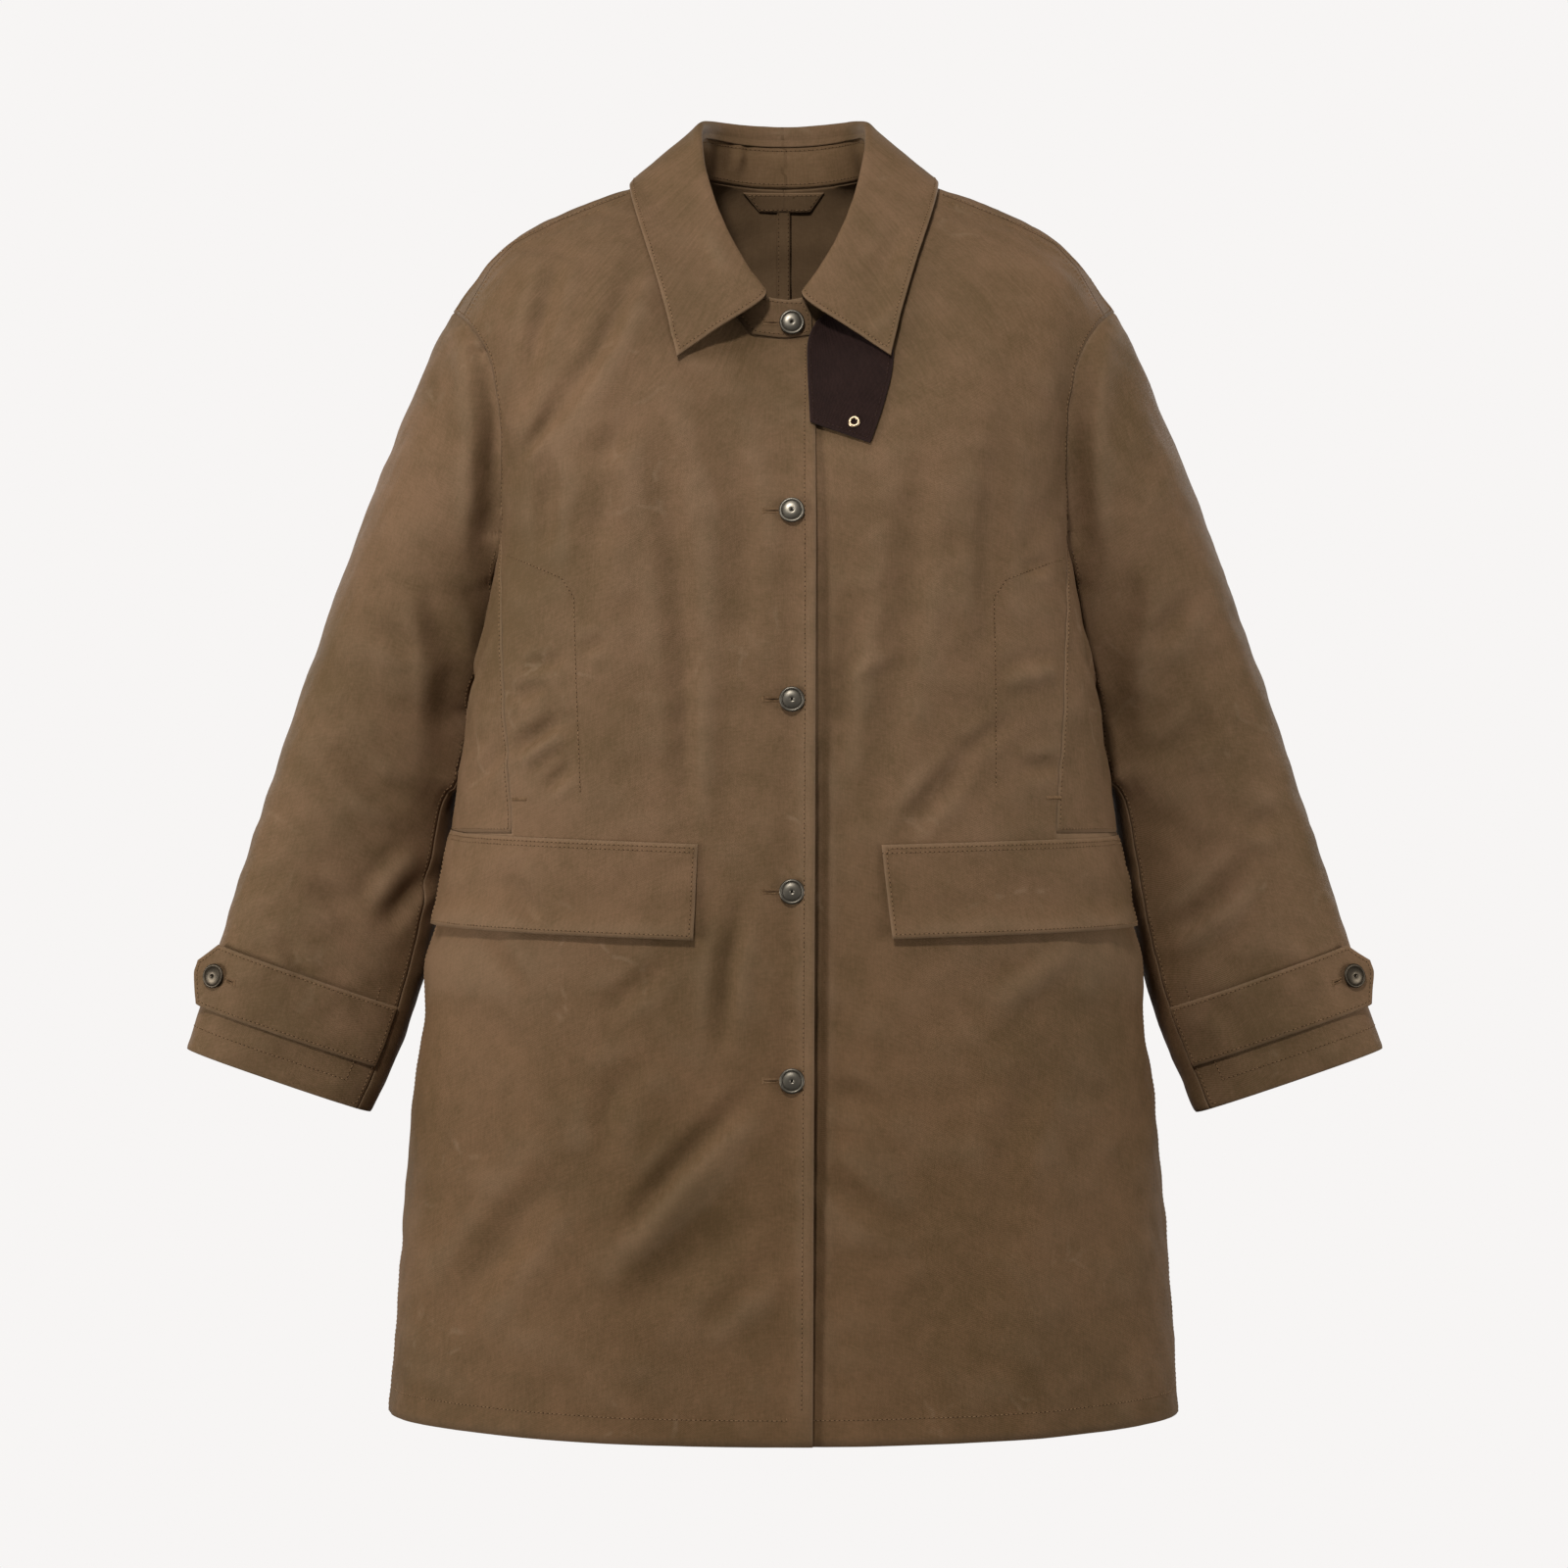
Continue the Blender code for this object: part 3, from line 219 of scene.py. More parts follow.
# Creases of the back, drawn as a worn coat of this cut falls
BACK_CREASES = (
    Crease(((-0.060, -0.120), (-0.100, -0.200), (-0.128, -0.300)), -0.0026, 0.0110, Facing.BACK),
    Crease(((0.054, -0.115), (0.094, -0.190), (0.124, -0.280)), -0.0024, 0.0110, Facing.BACK),
    Crease(((-0.165, -0.150), (-0.150, -0.250), (-0.154, -0.340)), -0.0030, 0.0095, Facing.BACK),
    Crease(((0.168, -0.160), (0.152, -0.255), (0.150, -0.355)), -0.0028, 0.0100, Facing.BACK),
    Crease(((-0.195, -0.330), (-0.150, -0.375), (-0.120, -0.395)), -0.0024, 0.0080, Facing.BACK),
    Crease(((0.196, -0.345), (0.160, -0.380), (0.115, -0.402)), -0.0022, 0.0085, Facing.BACK),
    Crease(((-0.180, -0.410), (-0.120, -0.430)), 0.0018, 0.0080, Facing.BACK),
    Crease(((0.175, -0.432), (0.125, -0.446)), 0.0018, 0.0080, Facing.BACK),
    Crease(((-0.030, -0.420), (-0.042, -0.520), (-0.050, -0.640)), -0.0020, 0.0120, Facing.BACK),
    Crease(((0.045, -0.470), (0.056, -0.580), (0.060, -0.700)), -0.0022, 0.0120, Facing.BACK),
    Crease(((-0.090, -0.600), (-0.130, -0.680), (-0.150, -0.800)), -0.0028, 0.0110, Facing.BACK),
    Crease(((0.120, -0.560), (0.150, -0.660), (0.172, -0.790)), -0.0028, 0.0120, Facing.BACK),
    Crease(((0.020, -0.700), (0.034, -0.780), (0.040, -0.850)), 0.0020, 0.0130, Facing.BACK),
    Crease(((-0.205, -0.560), (-0.170, -0.600)), -0.0018, 0.0080, Facing.BACK),
)

# Swell of the sides below the flaps, and the sides' own creases
SIDE_CREASES = (
    Crease(((-0.150, -0.578), (0.0, -0.578), (0.150, -0.578)), 0.0024, 0.0240, Facing.RIGHT),
    Crease(((-0.150, -0.578), (0.0, -0.578), (0.150, -0.578)), 0.0024, 0.0240, Facing.LEFT),
    Crease(((-0.070, -0.330), (-0.030, -0.372), (0.020, -0.384)), -0.0018, 0.0085, Facing.RIGHT),
    Crease(((0.060, -0.352), (0.020, -0.400), (-0.020, -0.412)), -0.0018, 0.0080, Facing.RIGHT),
    Crease(((0.030, -0.620), (0.012, -0.720), (0.018, -0.820)), -0.0020, 0.0120, Facing.RIGHT),
    Crease(((-0.064, -0.346), (-0.020, -0.380), (0.034, -0.390)), -0.0018, 0.0085, Facing.LEFT),
    Crease(((0.066, -0.370), (0.024, -0.408), (-0.012, -0.430)), -0.0018, 0.0080, Facing.LEFT),
    Crease(((0.022, -0.640), (0.016, -0.740), (0.026, -0.830)), -0.0020, 0.0120, Facing.LEFT),
)

# Creases of the sleeves: deep folds beside both armholes, then the right front, left front and both backs
SLEEVE_CREASES = (
    Crease(
        ((-0.236, -0.100), (-0.218, -0.124), (-0.2135, -0.180), (-0.2150, -0.245), (-0.222, -0.290)),
        -0.0050, 0.0095,
    ),
    Crease(
        ((0.236, -0.098), (0.218, -0.122), (0.2135, -0.180), (0.2150, -0.245), (0.222, -0.290)),
        -0.0050, 0.0095,
    ),
    Crease(((-0.212, -0.122), (-0.228, -0.136)), -0.0030, 0.0040),
    Crease(((-0.296, -0.552), (-0.276, -0.527), (-0.258, -0.512)), -0.0028, 0.0065),
    Crease(((-0.310, -0.540), (-0.290, -0.514), (-0.268, -0.494)), 0.0018, 0.0070),
    Crease(((-0.352, -0.520), (-0.318, -0.540)), -0.0020, 0.0080),
    Crease(((-0.262, -0.300), (-0.250, -0.360), (-0.256, -0.430)), -0.0026, 0.0090),
    Crease(((-0.300, -0.330), (-0.268, -0.352)), -0.0016, 0.0080),
    Crease(((-0.335, -0.420), (-0.300, -0.452), (-0.275, -0.462)), -0.0018, 0.0090),
    Crease(((-0.372, -0.560), (-0.352, -0.590)), -0.0014, 0.0060),
    Crease(((0.344, -0.500), (0.318, -0.529), (0.286, -0.557)), -0.0030, 0.0080),
    Crease(((0.352, -0.518), (0.326, -0.546), (0.300, -0.566)), 0.0018, 0.0075),
    Crease(((0.318, -0.392), (0.282, -0.432)), -0.0020, 0.0095),
    Crease(((0.258, -0.290), (0.247, -0.350), (0.252, -0.420)), -0.0026, 0.0090),
    Crease(((0.300, -0.310), (0.270, -0.345)), -0.0016, 0.0080),
    Crease(((0.368, -0.470), (0.340, -0.480)), -0.0016, 0.0075),
    Crease(((-0.330, -0.330), (-0.290, -0.372), (-0.262, -0.384)), -0.0036, 0.0085, Facing.BACK),
    Crease(((-0.345, -0.392), (-0.308, -0.424), (-0.276, -0.430)), -0.0034, 0.0085, Facing.BACK),
    Crease(((-0.362, -0.452), (-0.322, -0.476)), 0.0024, 0.0090, Facing.BACK),
    Crease(((0.328, -0.325), (0.292, -0.362), (0.262, -0.372)), -0.0036, 0.0085, Facing.BACK),
    Crease(((0.348, -0.398), (0.312, -0.420), (0.278, -0.434)), -0.0032, 0.0090, Facing.BACK),
    Crease(((0.366, -0.460), (0.330, -0.488)), 0.0024, 0.0090, Facing.BACK),
)

# Creases of the collar's fall and stand
COLLAR_CREASES = (
    Crease(((-0.098, -0.052), (-0.070, -0.066)), -0.0010, 0.0070),
    Crease(((-0.088, -0.112), (-0.074, -0.126)), -0.0010, 0.0045),
    Crease(((-0.058, -0.040), (-0.040, -0.078)), 0.0010, 0.0070),
    Crease(((0.090, -0.040), (0.064, -0.082)), -0.0010, 0.0080),
    Crease(((0.080, -0.106), (0.060, -0.120)), 0.0008, 0.0060),
    Crease(((-0.060, 0.010), (-0.040, -0.020)), -0.0012, 0.0060, Facing.BACK),
    Crease(((0.030, 0.020), (0.050, -0.015)), -0.0012, 0.0065, Facing.BACK),
)

# Upright creases of the stand, which show inside the neck
STAND_CREASES = (
    Crease(((-0.0276, 0.050), (-0.0357, 0.010)), -0.0011, 0.0038, Facing.BACK),
    Crease(((-0.0590, 0.050), (-0.0565, 0.006)), -0.0012, 0.0042, Facing.BACK),
    Crease(((0.0560, 0.050), (0.0590, 0.004)), -0.0011, 0.0044, Facing.BACK),
)


class Graph:
    """Thin helper that adds nodes to a node tree and links them."""

    def __init__(self, tree: bpy.types.NodeTree) -> None:
        """Keeps the tree that nodes are added to."""
        self.tree = tree

    def add(self, kind: str, inputs: dict | None = None, **settings) -> bpy.types.Node:
        """Adds a node, sets its properties and fills or links its inputs.

        Args:
            kind: Node type, such as "ShaderNodeMath".
            inputs: Input name or index to a value, or to the output socket that feeds it.
            **settings: Properties of the node.

        Returns:
            The new node.
        """
        node = self.tree.nodes.new(kind)
        for name, value in settings.items():
            setattr(node, name, value)
        self.feed(node, inputs or {})
        return node

    def feed(self, node: bpy.types.Node, inputs: dict) -> None:
        """Fills inputs of a node with values, or links them to the sockets that feed them."""
        for name, value in inputs.items():
            if isinstance(value, bpy.types.NodeSocket):
                self.tree.links.new(value, node.inputs[name])
            else:
                node.inputs[name].default_value = value

    def math(self, operation: str, first, second=0.0, clamp: bool = False) -> bpy.types.NodeSocket:
        """Adds a Math node and returns its output."""
        node = self.add("ShaderNodeMath", {0: first, 1: second}, operation=operation, use_clamp=clamp)
        return node.outputs[0]

    def ramp(self, value, low: float, high: float) -> bpy.types.NodeSocket:
        """Maps a value smoothly from low..high to 0..1 and returns the result."""
        node = self.add(
            "ShaderNodeMapRange",
            {"Value": value, "From Min": low, "From Max": high},
            interpolation_type="SMOOTHSTEP",
        )
        return node.outputs[0]

    def blend(self, share, first, second, mode: str = "MIX") -> bpy.types.NodeSocket:
        """Mixes two colours by a share and returns the result."""
        inputs = {0: share, 6: first, 7: second}
        return self.add("ShaderNodeMix", inputs, data_type="RGBA", blend_type=mode).outputs[2]

    def noise(self, vector, scale: float, detail: float = 3.0, roughness: float = 0.55):
        """Adds a noise texture and returns its value output."""
        node = self.add(
            "ShaderNodeTexNoise",
            {"Vector": vector, "Scale": scale, "Detail": detail, "Roughness": roughness},
        )
        return node.outputs["Fac"]


def new_material(name: str) -> tuple[bpy.types.Material, Graph, bpy.types.Node]:
    """Makes a material and returns it with its graph helper and its Principled shader."""
    material = bpy.data.materials.new(name)
    material.use_nodes = True
    return material, Graph(material.node_tree), material.node_tree.nodes["Principled BSDF"]


def new_piece(name: str, data: bpy.types.ID) -> bpy.types.Object:
    """Makes an object of some data, links it to the scene and returns it."""
    piece = bpy.data.objects.new(name, data)
    bpy.context.scene.collection.objects.link(piece)
    return piece


def finished_mesh(shape: bmesh.types.BMesh, name: str) -> bpy.types.Mesh:
    """Makes a mesh of a working shape, frees the shape and returns the mesh."""
    mesh = bpy.data.meshes.new(name)
    shape.to_mesh(mesh)
    shape.free()
    return mesh


def mesh_points(mesh: bpy.types.Mesh) -> np.ndarray:
    """Returns the places of a mesh's vertices."""
    flat = np.empty(len(mesh.vertices) * 3, np.float32)
    mesh.vertices.foreach_get("co", flat)
    return flat.reshape(-1, 3)


def place_points(mesh: bpy.types.Mesh, points: np.ndarray) -> None:
    """Puts a mesh's vertices in new places."""
    mesh.vertices.foreach_set("co", points.astype(np.float32).ravel())
    mesh.update()


def new_group(name: str, inputs: dict[str, str], outputs: dict[str, str]):
    """Makes a shader node group with named sockets.

    Args:
        name: Name of the group.
        inputs: Input socket names and their socket types.
        outputs: Output socket names and their socket types.

    Returns:
        The group's tree, its graph helper, and its input and output nodes.
    """
    tree = bpy.data.node_groups.new(name, "ShaderNodeTree")
    for way, sockets in (("INPUT", inputs), ("OUTPUT", outputs)):
        for socket, kind in sockets.items():
            tree.interface.new_socket(socket, in_out=way, socket_type=kind)
    graph = Graph(tree)
    return tree, graph, graph.add("NodeGroupInput"), graph.add("NodeGroupOutput")


def weave_group() -> bpy.types.NodeTree:
    """Builds the plain weave: threads that pass over and under, on a UV map in metres."""
    tree, graph, source, result = new_group(
        "plain_weave",
        {"Vector": "NodeSocketVector", "Threads": "NodeSocketFloat", "Slub": "NodeSocketFloat"},
        {"Height": "NodeSocketFloat", "Streaks": "NodeSocketFloat"},
    )
    streaks = []
    for stretch in ((85.0, 640.0, 1.0), (640.0, 85.0, 1.0)):
        drawn = graph.add(
            "ShaderNodeVectorMath", {0: source.outputs["Vector"], 1: stretch}, operation="MULTIPLY"
        )
        streaks.append(graph.noise(drawn.outputs[0], scale=1.0, roughness=0.6))
    streak = graph.math("MULTIPLY", graph.math("ADD", *streaks), 0.5)
    slub = graph.noise(source.outputs["Vector"], scale=420.0, detail=2.0)
    shift = graph.math("MULTIPLY", graph.math("SUBTRACT", slub, 0.5), source.outputs["Slub"])
    parts = graph.add("ShaderNodeSeparateXYZ", {0: source.outputs["Vector"]})
    waves = []
    for axis in ("X", "Y"):
        turns = graph.math("MULTIPLY", parts.outputs[axis], source.outputs["Threads"])
        waves.append(graph.math("SINE", graph.math("ADD", turns, shift)))
    height = graph.math("MULTIPLY", graph.math("MULTIPLY", *waves), 0.5)
    graph.feed(result, {"Height": graph.math("ADD", height, 0.5), "Streaks": streak})
    return tree


def wax_group() -> bpy.types.NodeTree:
    """Builds the dry wax finish: cloudy tone, and pale crackle where the wax has been bent."""
    tree, graph, source, result = new_group(
        "dry_wax",
        {"Vector": "NodeSocketVector", "Crackle Scale": "NodeSocketFloat"},
        {"Cloud": "NodeSocketFloat", "Marks": "NodeSocketFloat", "Grain": "NodeSocketFloat"},
    )
    place = source.outputs["Vector"]
    broad = graph.noise(place, scale=6.5, detail=5.0, roughness=0.6)
    close = graph.noise(place, scale=46.0, detail=4.0, roughness=0.65)
    cloud = graph.math("ADD", graph.math("MULTIPLY", broad, 0.68), graph.math("MULTIPLY", close, 0.32))
    bend = graph.add("ShaderNodeTexNoise", {"Vector": place, "Scale": 24.0, "Detail": 3.0})
    shifts = {0: bend.outputs["Color"], "Scale": 0.030}
    wander = graph.add("ShaderNodeVectorMath", shifts, operation="SCALE")
    bent = graph.add("ShaderNodeVectorMath", {0: place, 1: wander.outputs[0]}, operation="ADD")
    cells = graph.add(
        "ShaderNodeTexVoronoi",
        {"Vector": bent.outputs[0], "Scale": source.outputs["Crackle Scale"]},
        feature="DISTANCE_TO_EDGE",
    )
    lines = graph.math("SUBTRACT", 1.0, graph.ramp(cells.outputs["Distance"], low=0.004, high=0.060))
    patches = graph.ramp(graph.noise(place, scale=9.0), low=0.52, high=0.66)
    broken = graph.ramp(graph.noise(place, scale=70.0), low=0.44, high=0.62)
    marks = graph.math("MULTIPLY", graph.math("MULTIPLY", lines, patches), broken)
    grain = graph.noise(place, scale=480.0, roughness=0.7)
    graph.feed(result, {"Cloud": cloud, "Marks": marks, "Grain": grain})
    return tree


@dataclass(frozen=True)
class ClothFinish:
    """Finish of a cloth: its tones, wax marks, weave and roughness.

    Attributes:
        name: Material name.
        dark: Tone where the wax lies thick.
        light: Tone where the cloth is rubbed.
        wax: Tone of the pale crackle and of worn edges.
        marks: How strongly the crackle shows.
        wear: How strongly edges and crease ridges lighten.
        pitch: Distance between threads.
        relief: Height of the weave in the bump.
        rough: Roughness where the wax is thick and where the cloth is rubbed.
        sheen: Weight of the soft sheen.
        streaks: How strongly uneven threads show in the tone.
        specks: How strongly the fine grain shows in the tone.
        skirt_shade: Painted shade that darkens the lower body towards the hem, but not the sleeves.
    """

    name: str
    dark: tuple[float, float, float]
    light: tuple[float, float, float]
    wax: tuple[float, float, float]
    marks: float
    wear: float
    pitch: float
    relief: float
    rough: tuple[float, float]
    sheen: float
    streaks: float = 1.8
    specks: float = 1.0
    skirt_shade: tuple[float, float, float] = (1.0, 1.0, 1.0)

    def material(self, weave: bpy.types.NodeTree, wax: bpy.types.NodeTree) -> bpy.types.Material:
        """Builds the material.

        Args:
            weave: The plain weave group.
            wax: The dry wax group.

        Returns:
            The new material.
        """
        material, graph, shader = new_material(self.name)
        place = graph.add("ShaderNodeTexCoord").outputs["Object"]
        cloth_map = graph.add("ShaderNodeUVMap", uv_map="cloth").outputs["UV"]
        finish = graph.add("ShaderNodeGroup", {"Vector": place, "Crackle Scale": 21.0}, node_tree=wax)
        drawn = {"Vector": cloth_map, "Threads": math.pi / self.pitch, "Slub": 1.6}
        threads = graph.add("ShaderNodeGroup", drawn, node_tree=weave)
        cloud = graph.ramp(finish.outputs["Cloud"], low=0.30, high=0.70)
        streak = graph.math("SUBTRACT", threads.outputs["Streaks"], 0.5)
        speck = graph.math("SUBTRACT", finish.outputs["Grain"], 0.5)
        speck = graph.math("MULTIPLY", speck, self.specks)
        uneven = graph.math("ADD", graph.math("MULTIPLY", streak, self.streaks), speck)
        cloud = graph.math("ADD", cloud, uneven, clamp=True)
        tone = graph.blend(cloud, (*self.dark, 1.0), (*self.light, 1.0))
        # Painted shade: a tint darkens the lower body towards the hem, away from the sleeves
        parts = graph.add("ShaderNodeSeparateXYZ", {0: place})
        low = graph.ramp(parts.outputs["Z"], low=-0.40, high=-0.74)
        beside = graph.ramp(graph.math("ABSOLUTE", parts.outputs["X"]), low=0.300, high=0.284)
        tone = graph.blend(graph.math("MULTIPLY", low, beside), tone, (*self.skirt_shade, 1.0), "MULTIPLY")
        wear = graph.add("ShaderNodeAttribute", attribute_name="wear").outputs["Fac"]
        worn = graph.math("MULTIPLY", wear, self.wear, clamp=True)
        pale = graph.math("MULTIPLY", finish.outputs["Marks"], self.marks, clamp=True)
        tone = graph.blend(graph.math("MAXIMUM", worn, pale), tone, (*self.wax, 1.0))
        rough = graph.add(
            "ShaderNodeMapRange",
            {"Value": finish.outputs["Cloud"], "To Min": self.rough[0], "To Max": self.rough[1]},
        )
        fuzz = graph.math("MULTIPLY", finish.outputs["Grain"], 0.6)
        bump = graph.add(
            "ShaderNodeBump",
            {"Height": graph.math("ADD", threads.outputs["Height"], fuzz), "Distance": self.relief},
        )
        graph.feed(shader, {
            "Base Color": tone,
            "Roughness": rough.outputs[0],
            "Normal": bump.outputs["Normal"],
            "Sheen Weight": self.sheen,
            "Sheen Roughness": 0.45,
            "Specular IOR Level": 0.10,
        })
        return material


@dataclass(frozen=True)
class MetalFinish:
    """Finish of a metal piece: tarnish in the hollows and rubbed crests.

    Attributes:
        name: Material name.
        tarnish: Tone in the hollows.
        rubbed: Tone on the crests.
        rough: Roughness on the crests and in the hollows.
    """

    name: str
    tarnish: tuple[float, float, float]
    rubbed: tuple[float, float, float]
    rough: tuple[float, float]

    def material(self) -> bpy.types.Material:
        """Builds the material and returns it."""
        material, graph, shader = new_material(self.name)
        place = graph.add("ShaderNodeTexCoord").outputs["Object"]
        stain = graph.noise(place, scale=520.0, detail=4.0, roughness=0.65)
        crest = graph.add("ShaderNodeAttribute", attribute_name="wear").outputs["Fac"]
        uneven = graph.math("ADD", crest, graph.math("MULTIPLY", stain, 0.5))
        share = graph.ramp(uneven, low=0.25, high=1.15)
        tone = graph.blend(share, (*self.tarnish, 1.0), (*self.rubbed, 1.0))
        rough = graph.add(
            "ShaderNodeMapRange",
            {"Value": share, "To Min": self.rough[1], "To Max": self.rough[0]},
        )
        pits = graph.noise(place, scale=1500.0, detail=2.0)
        bump = graph.add("ShaderNodeBump", {"Height": pits, "Distance": 0.00005, "Strength": 0.5})
        graph.feed(shader, {
            "Base Color": tone,
            "Roughness": rough.outputs[0],
            "Normal": bump.outputs["Normal"],
            "Metallic": 1.0,
        })
        return material


@dataclass(frozen=True)
class ThreadFinish:
    """Finish of sewing thread, with a slight change of tone along it.

    Attributes:
        name: Material name.
        dark: Darker tone.
        light: Lighter tone.
        rough: Roughness.
    """

    name: str
    dark: tuple[float, float, float]
    light: tuple[float, float, float]
    rough: float

    def material(self) -> bpy.types.Material:
        """Builds the material and returns it."""
        material, graph, shader = new_material(self.name)
        place = graph.add("ShaderNodeTexCoord").outputs["Object"]
        share = graph.ramp(graph.noise(place, scale=160.0), low=0.35, high=0.65)
        tone = graph.blend(share, (*self.dark, 1.0), (*self.light, 1.0))
        graph.feed(shader, {"Base Color": tone, "Roughness": self.rough, "Specular IOR Level": 0.08})
        return material


# The outer cloth carries a painted shade tint for the lower body
OUTER_CLOTH = ClothFinish(
    "waxed_cotton", (0.090, 0.0540, 0.0243), (0.143, 0.0820, 0.0440), (0.260, 0.180, 0.115),
    marks=0.18, wear=0.20, pitch=0.0007, relief=0.00012, rough=(0.62, 0.80), sheen=0.0,
    skirt_shade=(0.84, 0.80, 0.71),
)
# Painted light: the next two finishes are lighter copies of the waxed cotton, for the collar stand's inside
# face and for the inside of the coat, which lie in shade
LIT_STAND_CLOTH = ClothFinish(
    "waxed_cotton_stand_lit", (0.126, 0.0740, 0.0340), (0.182, 0.1070, 0.0560), (0.260, 0.180, 0.115),
    marks=0.16, wear=0.10, pitch=0.0007, relief=0.00012, rough=(0.66, 0.84), sheen=0.0,
)
LIT_INNER_CLOTH = ClothFinish(
    "waxed_cotton_inside", (0.122, 0.073, 0.037), (0.158, 0.096, 0.050), (0.250, 0.170, 0.105),
    marks=0.06, wear=0.10, pitch=0.0007, relief=0.00012, rough=(0.70, 0.86), sheen=0.0,
)
DARK_CLOTH = ClothFinish(
    "tab_cloth", (0.0118, 0.0054, 0.0042), (0.0205, 0.0096, 0.0076), (0.044, 0.025, 0.021),
    marks=0.0, wear=0.20, pitch=0.0011, relief=0.00025, rough=(0.86, 0.97), sheen=0.03,
)
BUTTON_METAL = MetalFinish("button_metal", (0.032, 0.027, 0.020), (0.175, 0.154, 0.122), (0.36, 0.55))
# Painted shade: a darker copy of the button metal for the cuff buttons, which keeps lamp reflections on
# them dim
SHADED_CUFF_METAL = MetalFinish("cuff_button_metal_shaded", (0.020, 0.015, 0.010), (0.085, 0.069, 0.050), (0.42, 0.60))
EYELET_METAL = MetalFinish("eyelet_metal", (0.130, 0.082, 0.047), (0.400, 0.290, 0.185), (0.34, 0.50))
BROWN_THREAD = ThreadFinish("brown_thread", (0.128, 0.074, 0.036), (0.190, 0.114, 0.060), 0.85)
DARK_THREAD = ThreadFinish("dark_thread", (0.016, 0.008, 0.007), (0.034, 0.019, 0.016), 0.80)
# Painted shade, not thread: dark marks for needle holes, buttonhole openings and seam grooves
SLOT_SHADE = ThreadFinish("slot_shade", (0.016, 0.008, 0.0035), (0.026, 0.014, 0.006), 0.95)


def smooth_step(share: np.ndarray) -> np.ndarray:
    """Eases a share from 0 to 1."""
    share = np.clip(share, 0.0, 1.0)
    return share * share * (3.0 - 2.0 * share)


def run_lengths(points: np.ndarray) -> np.ndarray:
    """Returns the distance along a path at each of its points."""
    return np.r_[0.0, np.cumsum(np.linalg.norm(np.diff(points, axis=0), axis=1))]


def point_lookup(points: np.ndarray) -> KDTree:
    """Returns a lookup of the nearest of some points."""
    lookup = KDTree(len(points))
    for index, point in enumerate(points):
        lookup.insert(point, index)
    lookup.balance()
    return lookup


def crease_lift(points: np.ndarray, ways: np.ndarray, creases: Sequence[Crease]) -> np.ndarray:
    """Works out how far creases move points of a cloth outwards.

    Args:
        points: Points of the cloth.
        ways: Outward direction at each point.
        creases: Creases that lie on it.

    Returns:
        The lift at each point.
    """
    lift = np.zeros(len(points))
    for crease in creases:
        facing = np.array(crease.facing.value)
        seen = points[:, [0, 2]] if facing[0] == 0.0 else points[:, [1, 2]]
        path = np.array(crease.path)
        steps = np.diff(path, axis=0)
        lengths = np.linalg.norm(steps, axis=1)
        starts = np.r_[0.0, np.cumsum(lengths)]
        nearest = np.full(len(points), np.inf)
        run = np.zeros(len(points))
        for start, step, length, before in zip(path, steps, lengths, starts):
            share = np.clip((seen - start) @ step / length**2, 0.0, 1.0)
            away = np.linalg.norm(seen - start - share[:, None] * step, axis=1)
            closer = away < nearest
            nearest[closer] = away[closer]
            run[closer] = (before + share[closer] * length) / starts[-1]
        across = nearest / crease.width
        swell = np.exp(-(((across - SWELL_PLACE) / SWELL_BREADTH) ** 2))
        form = np.exp(-(across**2)) - SWELL_SHARE * swell
        fade = np.sin(np.clip(run, 0.02, 0.98) * math.pi) ** END_FADE
        turned_to = smooth_step(ways[:, :2] @ facing / TURN_SPAN)
        lift += FOLD_STRENGTH * crease.depth * form * fade * turned_to
    return lift


def rumple(points: np.ndarray, height: float, length: float, seed: int) -> np.ndarray:
    """Uneven small waves over the cloth, from a few crossed sines with seeded directions.

    Args:
        points: Points of the cloth.
        height: Height of the waves.
        length: Length of the longest wave.
        seed: Seed of their directions.

    Returns:
        The lift at each point.
    """
    rng = np.random.default_rng(seed)
    lift = np.zeros(len(points))
    for octave in range(OCTAVES):
        way = rng.normal(size=3)
        way /= np.linalg.norm(way)
        bend = rng.normal(size=3)
        wave = 2.0 * math.pi / length * FINER**octave
        phase = np.sin(points @ bend * wave * BEND_SHARE + rng.uniform(0.0, 6.0)) * CREST_BEND
        lift += np.sin(points @ way * wave + phase + rng.uniform(0.0, 6.0)) / LOWER**octave
    return lift * height / WAVE_SUM


